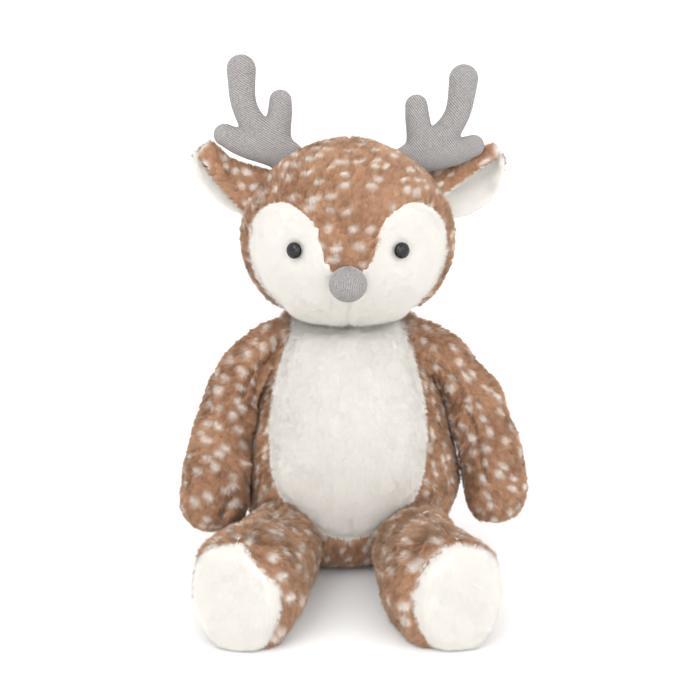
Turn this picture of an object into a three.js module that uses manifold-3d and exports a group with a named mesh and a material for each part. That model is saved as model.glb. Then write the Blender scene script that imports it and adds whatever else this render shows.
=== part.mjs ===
// A seated plush deer with knitted antlers and nose, as an assembly of its cut panels, stuffing,
// pellet bag and plastic eyes.
// Millimetres. +X is the deer's left, -Y its front and +Z up. The origin is the middle of the flat
// underside of the seat, on the surface that the deer sits on.

import * as THREE from "three";
import { mergeVertices } from "three/addons/utils/BufferGeometryUtils.js";
import Module from "manifold-3d";

const wasm = await Module();
wasm.setup();

// Fabrics and clearances
const plush = 3; // backing with its pile pressed down
const knit = 1.3; // knitted cover of the antlers and the nose
const seamGap = 0.4; // between two panels along a seam
const fitGap = 0.3; // between a piece and what fills or carries it
const facetSink = 1; // how far the widest faces of a rounded form lie inside its true surface
const overrun = 20; // how far a cutter runs past what it cuts
const floorPress = 0.5; // how deep the seat and the legs press flat on the floor

// Torso
const torsoHeight = 170;
const torsoHalfWidth = 69.5;
const torsoFront = 61;
const torsoBack = 53;
const bellyHalfWidth = 50.5;
const bellyOver = 12; // how far the belly panel would run past the top of the torso
const bellyBottom = 29;
const seatPanelHalfWidth = 40;
const seatPanelHalfDepth = 32;
const pelletBagHalfWidth = 40;
const pelletBagHalfDepth = 34;
const pelletBagHalfHeight = 12;
const pelletBagUp = 20;

// Head and neck
const headHeight = 122;
const headHalfWidth = 68.5;
const headFront = 59;
const headBack = 57;
const headSink = 12; // how far the head's lowest point lies below the top of the torso
const headForward = 5; // the head's middle, ahead of the seat's middle
const muzzleReach = 6;
const muzzleSpread = 26;
const muzzleBelow = 20; // the muzzle's middle, below the head's middle
const neckWadRadius = 17;
const nodBack = 10; // degrees the head nods back from rest
const nodForward = 4;
const headTurn = 30; // degrees each way

// Eyes and nose
const eyeRadius = 5.1;
const eyeBulge = 3.4;
const eyeRim = 1; // depth of the eye's edge, sunk in the pile
const eyeOut = 33;
const eyeBelow = 2; // the eyes, below the head's middle
const shankRadius = 1.6;
const shankLength = 11;
const washerRadius = 6.5;
const washerThickness = 1.6;
const noseHalfWidth = 11.8;
const noseHalfHeight = 11;
const noseHalfDepth = 10;
const noseProud = 15; // how far the nose stands off the face

// Arms
const armHalfWidth = 23;
const armHalfDepth = 21.5;
const shoulderRadius = 18;
const shoulderOut = 38; // from the middle of the deer to the shoulder's middle
const shoulderBelow = 26; // the shoulders, below the top of the torso
const leftArmDrop = 119; // from the shoulder's middle down to the end of the hand
const rightArmDrop = 123;
const leftArmReach = 62; // from the shoulder's middle out to the end of the hand
const rightArmReach = 52;
const leftArmSwing = 6; // degrees that an arm lies forward at rest
const rightArmSwing = 16;
const armForward = 75; // degrees an arm lifts forward from rest
const leftArmBackward = 20;
const rightArmBackward = 4; // the hand rests before the belly's side and soon meets it

// Legs
const legLength = 158; // from the back of the hip to the front of the sole
const legHalfWidth = 28.5; // of the foot
const footHeight = 68;
const leftLegBulge = 8.5; // how far a leg's middle swells inwards behind its foot
const rightLegBulge = 4;
const hipRadius = 25;
const hipOut = 40;
const hipUp = 26;
const hipForward = 34;
const legSplay = 11; // degrees outwards from straight ahead
const soleDepth = 7; // from the foot's front to the seam round the sole
const legSag = 4; // how much farther a leg swells down than up, before the floor presses it flat
const legUp = 15; // degrees a leg lifts from rest
const legDown = 30;

// Ears
const earLength = 53;
const earPly = 2.6; // each of the two layers of an ear
const earRootOut = 55;
const earRootAbove = 26; // the ears' roots, above the head's middle
const leftEarTilt = 25; // degrees above level that an ear points, square to its hinge
const rightEarTilt = 33;
const earRootSink = 7; // how far an ear runs into the head before it is cut to it
const earFoldBack = 25; // degrees an ear folds back from rest
const leftEarFoldFront = 8;
const rightEarFoldFront = 2; // its folded edge soon meets the antler

// Antlers
const antlerHalfThickness = 8.5;
const antlerHalfWidth = 11; // of the beam; the tines follow it
const antlerHeight = 57; // from the root's middle to the middle of the beam's tip
const antlerReach = 42; // from the root's middle to the middle of the outer tine's tip
const antlerRootOut = 39;
const antlerRootAbove = 46; // the antlers' roots, above the head's middle
const leftAntlerLean = 6; // degrees that the left antler leans farther out than the right
const antlerSway = 12; // degrees each way

// Tail
const tailLength = 40;
const tailHalfWidth = 14;
const tailHalfDepth = 7;
const tailUp = 48;
const tailLift = 50; // degrees above level that the tail points
const tailDrop = 25; // degrees the tail folds down from rest
const tailRaise = 20;

const rad = THREE.MathUtils.degToRad;
const origin = new THREE.Vector3();
const xAxis = new THREE.Vector3(1, 0, 0);
const yAxis = new THREE.Vector3(0, 1, 0);
const zAxis = new THREE.Vector3(0, 0, 1);
const along = (axis, length) => axis.clone().multiplyScalar(length);

const cloth = (color, roughness) => new THREE.MeshStandardMaterial({ color, roughness, metalness: 0 });
const brownPlush = cloth(0xa87c5c, 0.95);
const creamPlush = cloth(0xefe9de, 0.95);
const greyKnit = cloth(0xa9a5a3, 0.85);
const whiteStuffing = cloth(0xf6f5f1, 1);
const bagCotton = cloth(0xd9d2c2, 0.9);
const blackPlastic = new THREE.MeshStandardMaterial({ color: 0x0d0d0f, roughness: 0.12, metalness: 0 });
const whitePlastic = new THREE.MeshStandardMaterial({ color: 0xe8e8e4, roughness: 0.4, metalness: 0 });

const deer = new THREE.Group();
const leftRight = [1, -1];
const sideName = (sign) => (sign < 0 ? "r" : "l");

// Solids from geometry and back

function solidOf(geometry) {
  const bare = geometry.clone();
  for (const name of Object.keys(bare.attributes)) if (name !== "position") bare.deleteAttribute(name);
  const merged = mergeVertices(bare, 1e-4);
  const vertProperties = new Float32Array(merged.attributes.position.array);
  const triVerts = new Uint32Array(merged.index.array);
  const solid = new wasm.Manifold(new wasm.Mesh({ numProp: 3, vertProperties, triVerts }));
  if (solid.volume() > 0) return solid;
  triVerts.reverse();
  return new wasm.Manifold(new wasm.Mesh({ numProp: 3, vertProperties, triVerts }));
}

function keep(name, solid, material) {
  const { vertProperties, triVerts } = solid.getMesh();
  const geometry = new THREE.BufferGeometry();
  geometry.setAttribute("position", new THREE.BufferAttribute(new Float32Array(vertProperties), 3));
  geometry.setIndex(new THREE.BufferAttribute(new Uint32Array(triVerts), 1));
  geometry.computeVertexNormals();
  const mesh = new THREE.Mesh(geometry, material);
  mesh.name = name;
  deer.add(mesh);
}

// The largest separate body of a solid: a cut along a curved seam can leave slivers.
function main(solid) {
  return solid.decompose().reduce((most, body) => (body.volume() > most.volume() ? body : most));
}

// The solid turned about an axis through a pivot, by an angle in degrees.
function turned(solid, pivot, axis, degrees) {
  const matrix = new THREE.Matrix4()
    .makeTranslation(pivot)
    .multiply(new THREE.Matrix4().makeRotationAxis(axis, rad(degrees)))
    .multiply(new THREE.Matrix4().makeTranslation(pivot.clone().negate()));
  return solid.transform(matrix.toArray());
}

// What the solid fills at rest and turned to both its limits.
function swept(solid, pivot, axis, from, to) {
  return solid.add(turned(solid, pivot, axis, from)).add(turned(solid, pivot, axis, to));
}

// The smooth value of a table of evenly spaced rows, from its first row at 0 to its last at 1.
function rowAt(table, share) {
  const place = share * (table.length - 1);
  const first = Math.min(Math.floor(place), table.length - 2);
  const row = (i) => table[Math.max(0, Math.min(table.length - 1, i))];
  const t = place - first;
  return row(first).map((value, k) => {
    const next = row(first + 1)[k];
    const slopeIn = (next - row(first - 1)[k]) / 2;
    const slopeOut = (row(first + 2)[k] - value) / 2;
    const bend = 3 * (next - value) - 2 * slopeIn - slopeOut;
    const curl = 2 * (value - next) + slopeIn + slopeOut;
    return value + t * (slopeIn + t * (bend + t * curl));
  });
}

// A closed surface from rings of points that run from one pole to the other.
function ringed(firstPole, rings, lastPole) {
  const sides = rings[0].length;
  const points = [firstPole, ...rings.flat(), lastPole];
  const last = points.length - 1;
  const index = [];
  for (let j = 0; j < sides; j++) {
    const k = (j + 1) % sides;
    index.push(0, 1 + k, 1 + j);
    for (let i = 0; i < rings.length - 1; i++) {
      const low = 1 + i * sides;
      const high = low + sides;
      index.push(low + j, low + k, high + j, low + k, high + k, high + j);
    }
    index.push(last - sides + j, last - sides + k, last);
  }
  const geometry = new THREE.BufferGeometry();
  geometry.setAttribute("position", new THREE.Float32BufferAttribute(points.flatMap((p) => p.toArray()), 3));
  geometry.setIndex(index);
  return geometry;
}

// A stuffed form. stationAt(share) gives the middle of each ring and its reach to the side, ahead and
// behind; inset moves the whole surface inwards along its normals, and bulge then moves single points.
function stuffed(stationAt, ringCount, sides, inset = 0, bulge = (point) => point) {
  const rings = [];
  for (let i = 1; i < ringCount; i++) {
    const { middle, side, ahead, behind } = stationAt(i / ringCount);
    const ring = [];
    for (let j = 0; j < sides; j++) {
      const angle = (2 * Math.PI * j) / sides;
      const depth = Math.sin(angle) < 0 ? ahead : behind;
      const point = middle.clone().addScaledVector(side, Math.cos(angle));
      ring.push(bulge(point.addScaledVector(depth, Math.abs(Math.sin(angle)))));
    }
    rings.push(ring);
  }
  const geometry = ringed(bulge(stationAt(0).middle), rings, bulge(stationAt(1).middle));
  geometry.computeVertexNormals();
  const { position, normal } = geometry.attributes;
  const outwards = solidVolume(geometry) > 0 ? 1 : -1;
  const point = new THREE.Vector3();
  const way = new THREE.Vector3();
  for (let i = 0; i < position.count; i++) {
    point.fromBufferAttribute(position, i);
    way.fromBufferAttribute(normal, i);
    point.addScaledVector(way, -inset * outwards);
    position.setXYZ(i, ...point.toArray());
  }
  return solidOf(geometry);
}

// The volume inside a closed surface, negative where its faces point inwards.
function solidVolume(geometry) {
  const { position } = geometry.attributes;
  const corner = (i) => new THREE.Vector3().fromBufferAttribute(position, geometry.index.getX(i));
  let volume = 0;
  for (let i = 0; i < geometry.index.count; i += 3)
    volume += corner(i).dot(corner(i + 1).cross(corner(i + 2))) / 6;
  return volume;
}

// A flat outline in the X-Z plane, carried along Y from one place to another.
function prism(outline, from, to) {
  const options = { depth: to - from, bevelEnabled: false };
  const geometry = new THREE.ExtrudeGeometry(new THREE.Shape(outline), options);
  geometry.rotateX(Math.PI / 2);
  geometry.translate(0, to, 0);
  return solidOf(geometry);
}

// A closed outline moved outwards by a distance, along its own normals.
function grown(outline, distance) {
  const outwards = THREE.ShapeUtils.area(outline) > 0 ? 1 : -1;
  return outline.map((point, i) => {
    const before = outline[(i + outline.length - 1) % outline.length];
    const after = outline[(i + 1) % outline.length];
    const way = after.clone().sub(before).normalize();
    return point.clone().add(new THREE.Vector2(way.y, -way.x).multiplyScalar(distance * outwards));
  });
}

const jointSides = 14;
const neckSides = 18;

// A ball with its poles on the X axis, about which the limbs turn.
function ball(radius, middle, sides = jointSides) {
  const geometry = new THREE.SphereGeometry(radius, sides, sides / 2);
  geometry.rotateZ(Math.PI / 2);
  return solidOf(geometry.translate(...middle.toArray()));
}

// Room for a faceted ball to turn about its own axis: the pocket's faces stay clear of its corners.
function ballPocket(radius, middle, sides = jointSides) {
  return ball((radius + fitGap) / Math.cos(Math.PI / sides), middle, sides);
}

// What lies between two planes square to a direction, at distances from a point.
function between(point, direction, from, to) {
  const size = 4 * torsoHeight;
  const geometry = new THREE.BoxGeometry(size, size, to - from);
  geometry.translate(0, 0, (from + to) / 2);
  geometry.applyQuaternion(new THREE.Quaternion().setFromUnitVectors(zAxis, direction));
  return solidOf(geometry.translate(...point.toArray()));
}

const far = 2 * torsoHeight;
const beyond = (point, direction, from = 0) => between(point, direction, from, far);
const aboveFloor = beyond(origin, zAxis);

// A piece turned about its own Y axis from a profile of radius and depth, then placed by a matrix.
function lathed(profile, sides, matrix) {
  const points = profile.map(([radius, depth]) => new THREE.Vector2(radius, depth));
  return solidOf(new THREE.LatheGeometry(points, sides).applyMatrix4(matrix));
}

// Forms

const torsoShares = [
  [0, 0, 0, 0],
  [0, 0.45, 0.4, 0.45],
  [0.035, 0.76, 0.7, 0.74],
  [0.13, 0.93, 0.91, 0.92],
  [0.28, 1, 1, 1],
  [0.43, 0.97, 0.99, 0.98],
  [0.59, 0.89, 0.92, 0.93],
  [0.74, 0.79, 0.8, 0.84],
  [0.87, 0.7, 0.68, 0.72],
  [0.96, 0.56, 0.54, 0.58],
  [1, 0, 0, 0],
];

function torsoStation(share) {
  const [height, side, ahead, behind] = rowAt(torsoShares, share);
  return {
    middle: along(zAxis, torsoHeight * height - floorPress),
    side: along(xAxis, torsoHalfWidth * side),
    ahead: along(yAxis, -torsoFront * ahead),
    behind: along(yAxis, torsoBack * behind),
  };
}

const torsoForm = (inset, rings = 12, sides = 20) => stuffed(torsoStation, rings, sides, inset);

const headBottom = torsoHeight - headSink;
const headMiddle = new THREE.Vector3(0, -headForward, headBottom + headHeight / 2);
const headTaperShare = 0.07; // the head's lower half is fuller than its upper

function headStation(share) {
  const polar = Math.PI * share;
  const swell = Math.sin(polar) * (1 + headTaperShare * Math.cos(polar));
  return {
    middle: headMiddle.clone().addScaledVector(zAxis, (-headHeight / 2) * Math.cos(polar)),
    side: along(xAxis, headHalfWidth * swell),
    ahead: along(yAxis, -headFront * swell),
    behind: along(yAxis, headBack * swell),
  };
}

// The muzzle swells forward round a point below the head's middle.
function muzzle(point) {
  const x = point.x / muzzleSpread;
  const z = (point.z - headMiddle.z + muzzleBelow) / muzzleSpread;
  const front = Math.max(0, (headMiddle.y - point.y) / headFront);
  return point.clone().addScaledVector(yAxis, -muzzleReach * front * Math.exp(-x * x - z * z));
}

const headForm = (inset, rings = 12, sides = 20) => stuffed(headStation, rings, sides, inset, muzzle);

// The place and the outward direction of the head's surface at a height, on one side, front or back.
function headSurface(out, up, facing) {
  const pointAt = (x, z) => {
    const ring = headStation(Math.acos((headMiddle.z - z) / (headHeight / 2)) / Math.PI);
    const depth = facing < 0 ? ring.ahead.y : ring.behind.y;
    const share = Math.sqrt(Math.max(0, 1 - (x / ring.side.x) ** 2));
    return muzzle(new THREE.Vector3(x, headMiddle.y + depth * share, z));
  };
  const point = pointAt(out, up);
  const step = fitGap;
  const across = pointAt(out + step, up).sub(pointAt(out - step, up));
  const upwards = pointAt(out, up + step).sub(pointAt(out, up - step));
  const normal = across.cross(upwards).normalize();
  if (normal.y * facing < 0) normal.negate();
  return { point, normal };
}

const neckPivot = new THREE.Vector3(0, -headForward, headBottom);

const armShares = [
  [0, 0],
  [0.5, 0.52],
  [0.78, 0.82],
  [0.82, 0.86],
  [0.84, 0.88],
  [0.9, 0.92],
  [1, 1],
  [0.98, 0.96],
  [0.66, 0.66],
  [0, 0],
];
const armRouteShares = [
  [-0.34, 0],
  [0, 0],
  [0.38, 0.08],
  [0.66, 0.25],
  [0.84, 0.5],
  [0.94, 0.78],
  [1, 1],
];

function armFrame(sign) {
  const degrees = sign < 0 ? rightArmSwing : leftArmSwing;
  const swing = new THREE.Quaternion().setFromAxisAngle(xAxis, -rad(degrees));
  return {
    pivot: new THREE.Vector3(sign * shoulderOut, 0, torsoHeight - shoulderBelow),
    backward: sign < 0 ? rightArmBackward : leftArmBackward,
    reach: sign < 0 ? rightArmReach : leftArmReach,
    drop: sign < 0 ? rightArmDrop : leftArmDrop,
    down: along(zAxis, -1).applyQuaternion(swing),
    front: along(yAxis, -1).applyQuaternion(swing),
  };
}

function armRoute(sign) {
  const { pivot, reach, drop, down } = armFrame(sign);
  return new THREE.CatmullRomCurve3(
    armRouteShares.map(([out, low]) =>
      pivot.clone().addScaledVector(xAxis, sign * out * reach).addScaledVector(down, low * drop),
    ),
  );
}

function armStation(sign) {
  const route = armRoute(sign);
  const { front } = armFrame(sign);
  return (share) => {
    const [width, depth] = rowAt(armShares, share);
    const place = (1 - Math.cos(Math.PI * share)) / 2;
    const out = new THREE.Vector3().crossVectors(front, route.getTangentAt(place)).normalize();
    return {
      middle: route.getPointAt(place),
      side: out.multiplyScalar(armHalfWidth * width),
      ahead: along(front, armHalfDepth * depth),
      behind: along(front, -armHalfDepth * depth),
    };
  };
}

const legShares = [
  [0, 0, 0, 0],
  [0.03, 0.66, 0.58, 0],
  [0.12, 0.93, 0.78, 0],
  [0.26, 0.96, 0.77, 0.2],
  [0.44, 0.99, 0.83, 0.6],
  [0.62, 1.03, 0.93, 0.9],
  [0.78, 1.08, 1.02, 1],
  [0.91, 1.06, 1.04, 0.6],
  [0.975, 0.87, 0.93, 0],
  [0.998, 0.6, 0.66, 0],
  [1, 0, 0, 0],
];

function legFrame(sign) {
  const splay = new THREE.Quaternion().setFromAxisAngle(zAxis, sign * rad(legSplay));
  return {
    pivot: new THREE.Vector3(sign * hipOut, -hipForward, hipUp),
    ahead: along(yAxis, -1).applyQuaternion(splay),
    out: along(xAxis, sign).applyQuaternion(splay),
  };
}

function legStation(sign) {
  const { pivot, ahead, out } = legFrame(sign);
  const rise = footHeight / 2 - floorPress - hipUp;
  const bulge = sign < 0 ? rightLegBulge : leftLegBulge;
  return (share) => {
    const [place, width, height, inwards] = rowAt(legShares, share);
    const middle = pivot.clone().addScaledVector(ahead, legLength * place - hipRadius);
    return {
      middle: middle.addScaledVector(zAxis, rise * place).addScaledVector(out, -bulge * inwards),
      side: along(out, legHalfWidth * width),
      ahead: along(zAxis, (footHeight / 2) * height),
      behind: along(zAxis, (-footHeight / 2 - legSag) * height),
    };
  };
}

// Clearances of the moving forms

const headKeep = headForm(-fitGap);

// The head made as deep as it is wide, so that it fills the same room however it is turned.
function roundHeadStation(share) {
  const { middle, side } = headStation(share);
  return { middle, side, ahead: along(yAxis, -side.x), behind: along(yAxis, side.x) };
}

const roundHead = stuffed(roundHeadStation, 8, 14, -fitGap - facetSink);
const nodded = (degrees) => turned(roundHead, neckPivot, xAxis, degrees);
const sideways = [-headTurn, headTurn].map((degrees) => turned(nodded(-nodBack), neckPivot, zAxis, degrees));
const headReach = nodded(-nodBack).add(nodded(nodForward)).add(sideways[0]).add(sideways[1]);

// The neck's ball turns two ways in its pocket, so its corners pass the faces of both directions.
const neckPocket = ball((neckWadRadius + fitGap) / Math.cos(Math.PI / neckSides) ** 2, neckPivot, neckSides);
const shoulderPockets = [-1, 1].map((sign) => ballPocket(shoulderRadius, armFrame(sign).pivot));
const hipPockets = [-1, 1].map((sign) => ballPocket(hipRadius, legFrame(sign).pivot));
const torsoCuts = [headReach, neckPocket, ...shoulderPockets, ...hipPockets];

const without = (solid, cuts) => cuts.reduce((left, cut) => left.subtract(cut), solid);

const liningGrid = [8, 12]; // rings and sides of the inner face of a skin and of what fills it

// Torso: brown sides and back with a seam down the back, cream belly, oval seat, stuffing and pellets

function bellyOutline() {
  const halfShares = [
    [0, 0],
    [0.34, 0.03],
    [0.66, 0.1],
    [0.9, 0.2],
    [1, 0.36],
    [0.97, 0.54],
    [0.84, 0.73],
    [0.64, 0.9],
    [0.6, 1],
  ];
  const height = torsoHeight + bellyOver - bellyBottom;
  const place = ([x, z]) => new THREE.Vector2(x * bellyHalfWidth, bellyBottom + z * height);
  const right = halfShares.map(place);
  const left = right.slice(1).reverse().map((point) => new THREE.Vector2(-point.x, point.y));
  return new THREE.SplineCurve([...left, ...right]).getPoints(right.length * 2);
}

function makeTorso() {
  const skin = torsoForm(0).subtract(torsoForm(plush, ...liningGrid)).intersect(aboveFloor);
  const cut = without(skin, torsoCuts);
  const belly = bellyOutline();
  const front = -torsoFront - overrun;
  const inBelly = prism(belly, front, 0);
  const aroundBelly = prism(grown(belly, seamGap), front - overrun, 0);
  const oval = new THREE.CylinderGeometry(1, 1, bellyBottom, 24).rotateX(Math.PI / 2);
  const inSeat = solidOf(oval.clone().scale(seatPanelHalfWidth, seatPanelHalfDepth, 1));
  const aroundSeat = solidOf(oval.scale(seatPanelHalfWidth + seamGap, seatPanelHalfDepth + seamGap, 1));
  const sides = cut.subtract(aroundBelly).subtract(aroundSeat);
  keep("belly_panel", main(cut.intersect(inBelly).subtract(aroundSeat)), creamPlush);
  keep("seat_panel", main(cut.intersect(inSeat)), brownPlush);
  keep("side_panel_l", main(sides.intersect(beyond(origin, xAxis, seamGap / 2))), brownPlush);
  keep("side_panel_r", main(sides.intersect(beyond(origin, along(xAxis, -1), seamGap / 2))), brownPlush);

  const bagShape = new THREE.SphereGeometry(1, 16, 8).rotateX(Math.PI / 2);
  const bagAt = (gap) =>
    solidOf(
      bagShape
        .clone()
        .scale(pelletBagHalfWidth + gap, pelletBagHalfDepth + gap, pelletBagHalfHeight + gap)
        .translate(0, torsoBack - pelletBagHalfDepth - 2 * plush, pelletBagUp),
    );
  const bag = without(bagAt(0), hipPockets).intersect(torsoForm(plush + 2 * fitGap, ...liningGrid));
  const stuffing = torsoForm(plush + fitGap, ...liningGrid).intersect(beyond(origin, zAxis, plush + fitGap));
  keep("pellet_bag", main(bag), bagCotton);
  keep("torso_stuffing", main(without(stuffing, [...torsoCuts, bagAt(fitGap)])), whiteStuffing);
}

// Neck: a ball of firm stuffing in the sewn opening, on which the head turns and nods

function makeNeck() {
  keep("neck_stuffing", ball(neckWadRadius, neckPivot, neckSides), whiteStuffing);
}

// Head: brown halves sewn along the crown, cream cheeks sewn under the nose, stuffing, eyes and nose

function cheekOutline(sign) {
  const halfShares = [
    [0, -0.27],
    [0.14, -0.22],
    [0.21, -0.11],
    [0.245, 0.05],
    [0.28, 0.18],
    [0.38, 0.31],
    [0.56, 0.4],
    [0.74, 0.33],
    [0.85, 0.18],
    [0.88, -0.03],
    [0.86, -0.26],
    [0.77, -0.5],
    [0.62, -0.72],
    [0.56, -1.2],
  ];
  const points = halfShares.map(
    ([x, z]) => new THREE.Vector2(sign * x * headHalfWidth, headMiddle.z + (z * headHeight) / 2),
  );
  const curve = new THREE.SplineCurve(points).getPoints(points.length + 2);
  return [...curve, new THREE.Vector2(0, headMiddle.z - headHeight)];
}

// The matrix that lays a turned piece on the head: its own -Y points outwards along the normal.
function onHead({ point, normal }) {
  const turn = new THREE.Quaternion().setFromUnitVectors(along(yAxis, -1), normal);
  return new THREE.Matrix4().compose(point, turn, new THREE.Vector3(1, 1, 1));
}

const eyePlace = (sign) => headSurface(sign * eyeOut, headMiddle.z - eyeBelow, -1);
const washerDepth = plush + 2 * fitGap;
const eyeSides = 12;

// The eye with its shank, or with a gap the hole that both need.
function eyeSolid(sign, gap) {
  const radius = eyeRadius + gap;
  const dome = [];
  const steps = 4;
  for (let i = 0; i < steps; i++) {
    const angle = (Math.PI / 2) * (i / steps);
    dome.push([radius * Math.sin(angle), -(eyeBulge + gap) * Math.cos(angle)]);
  }
  const shank = [
    [radius, 0],
    [radius, eyeRim + gap],
    [shankRadius + gap, eyeRim + gap],
    [shankRadius + gap, shankLength + gap],
    [0, shankLength + gap],
  ];
  return lathed([...dome, ...shank], eyeSides, onHead(eyePlace(sign)));
}

function washerSolid(sign, gap) {
  const hole = shankRadius + fitGap - gap;
  const [front, back] = [washerDepth - gap, washerDepth + washerThickness + gap];
  const outer = washerRadius + gap;
  const section = [
    [hole, front],
    [outer, front],
    [outer, back],
    [hole, back],
    [hole, front],
  ];
  return lathed(section, eyeSides, onHead(eyePlace(sign)));
}

const nosePlace = headSurface(0, headMiddle.z - muzzleBelow, -1).point;
const noseMiddle = nosePlace.clone().addScaledVector(yAxis, noseHalfDepth - noseProud);

const noseBall = (inset, sides) =>
  solidOf(
    new THREE.SphereGeometry(1, sides, sides / 2)
      .scale(noseHalfWidth - inset, noseHalfDepth - inset, noseHalfHeight - inset)
      .translate(...noseMiddle.toArray()),
  );

const antlerRootSides = 10;
const antlerPivot = (sign) => headSurface(sign * antlerRootOut, headMiddle.z + antlerRootAbove, 1).point;

function makeHead() {
  const eyeHoles = leftRight.map((sign) => eyeSolid(sign, fitGap).add(washerSolid(sign, fitGap)));
  const antlerPocket = (sign) => ballPocket(antlerHalfThickness, antlerPivot(sign), antlerRootSides);
  const antlerPockets = leftRight.map(antlerPocket);
  const cuts = [neckPocket, ...eyeHoles, ...antlerPockets];
  const skin = without(headForm(0).subtract(headForm(plush, ...liningGrid)), cuts);
  const front = headMiddle.y - headFront - overrun;
  let brown = skin;
  for (const sign of leftRight) {
    const half = beyond(origin, along(xAxis, sign), seamGap / 2);
    const outline = cheekOutline(sign);
    const inCheek = prism(outline, front, headMiddle.y);
    brown = brown.subtract(prism(grown(outline, seamGap), front - overrun, headMiddle.y + seamGap));
    keep(`cheek_panel_${sideName(sign)}`, main(skin.intersect(inCheek).intersect(half)), creamPlush);
    keep(`eye_${sideName(sign)}`, eyeSolid(sign, 0), blackPlastic);
    keep(`eye_washer_${sideName(sign)}`, washerSolid(sign, 0), whitePlastic);
  }
  for (const sign of leftRight) {
    const half = beyond(origin, along(xAxis, sign), seamGap / 2);
    keep(`crown_panel_${sideName(sign)}`, main(brown.intersect(half)), brownPlush);
  }
  keep("head_stuffing", main(without(headForm(plush + fitGap, ...liningGrid), cuts)), whiteStuffing);
  const noseSkin = noseBall(0, 14).subtract(noseBall(knit, 10));
  keep("nose_cover", main(noseSkin.subtract(headKeep)), greyKnit);
  keep("nose_stuffing", main(noseBall(knit + fitGap, 10).subtract(headKeep)), whiteStuffing);
}

// Ears: a brown back and a cream lining, curled along their length, the upper edge folded forward

const earGrid = [6, 8]; // columns along an ear and rows across it
const earStep = 1 / 50; // of an ear's length and width, for its normals and short of its tip
const earSwellShares = [0.15, 0.9]; // the part of a half wave by which an ear swells along its length

// Guides from root to tip, in shares of the ear's length out, back and up from its pivot
const leftEarShares = {
  rim: [[0.17, -0.14, -0.37], [0.45, -0.06, -0.31], [0.73, 0, -0.12], [0.86, 0.01, 0.15], [0.86, 0, 0.35]],
  fold: [[-0.09, 0.06, 0.08], [0.15, 0.14, 0.19], [0.4, 0.12, 0.32], [0.63, 0.06, 0.44], [0.8, 0, 0.5]],
  edge: [[0.06, -0.2, -0.15], [0.2, -0.13, 0], [0.39, -0.1, 0.14], [0.59, -0.08, 0.29], [0.8, -0.04, 0.45]],
};
const rightEarShares = {
  rim: [[0.15, -0.14, -0.33], [0.4, -0.06, -0.26], [0.67, 0, -0.05], [0.82, 0.03, 0.2], [0.83, 0.02, 0.47]],
  fold: [[-0.11, -0.03, 0.21], [0.12, 0, 0.26], [0.38, 0.01, 0.36], [0.58, 0, 0.5], [0.71, -0.02, 0.57]],
  edge: [[0.1, -0.32, -0.24], [0.26, -0.3, -0.12], [0.45, -0.24, 0.1], [0.63, -0.16, 0.3], [0.76, -0.06, 0.48]],
};
const leftEarHollow = 8; // how deep the lining's hollow is at its middle
const rightEarHollow = 7;
const leftEarFlap = 3; // how far the folded edge swells forward
const rightEarFlap = 6;

const earPivot = (sign) => headSurface(sign * earRootOut, headMiddle.z + earRootAbove, 1).point;

// The point of a guide, whose root is drawn on into the head.
function guidePoint(sign, guide, u) {
  const [out, back, up] = rowAt(guide, Math.max(u, 0));
  const [root, next] = guide;
  const into = (k) => Math.min(u, 0) * (guide.length - 1) * (next[k] - root[k]);
  return new THREE.Vector3(sign * (out + into(0)), back + into(1), up + into(2)).multiplyScalar(earLength);
}

// A point of the ear's middle: u from root to tip, v from the rim of the lining over the fold to the
// free edge of the flap.
function earMiddle(sign, u, v) {
  const guides = sign < 0 ? rightEarShares : leftEarShares;
  const [rim, fold, edge] = ["rim", "fold", "edge"].map((name) => guidePoint(sign, guides[name], u));
  const swell = Math.sin(Math.PI * THREE.MathUtils.lerp(...earSwellShares, Math.max(u, 0)));
  const deep = swell * (sign < 0 ? rightEarHollow : leftEarHollow);
  const proud = swell * (sign < 0 ? rightEarFlap : leftEarFlap);
  const hollow = rim.clone().add(fold).divideScalar(2).addScaledVector(yAxis, deep);
  const flap = fold.clone().add(edge).divideScalar(2).addScaledVector(yAxis, -proud);
  const across = [rim, hollow, fold, flap, edge].map((point) => point.toArray());
  return new THREE.Vector3(...rowAt(across, v)).add(earPivot(sign));
}

// The same point moved by a depth along the surface's normal, towards the lining.
function earPoint(sign, u, v, depth) {
  const [low, high] = [Math.max(v - earStep, 0), Math.min(v + earStep, 1)];
  const lengthways = earMiddle(sign, u + earStep, v).sub(earMiddle(sign, u - earStep, v));
  const across = earMiddle(sign, u, high).sub(earMiddle(sign, u, low));
  const lining = lengthways.cross(across).normalize().multiplyScalar(sign);
  return earMiddle(sign, u, v).addScaledVector(lining, depth);
}

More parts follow.
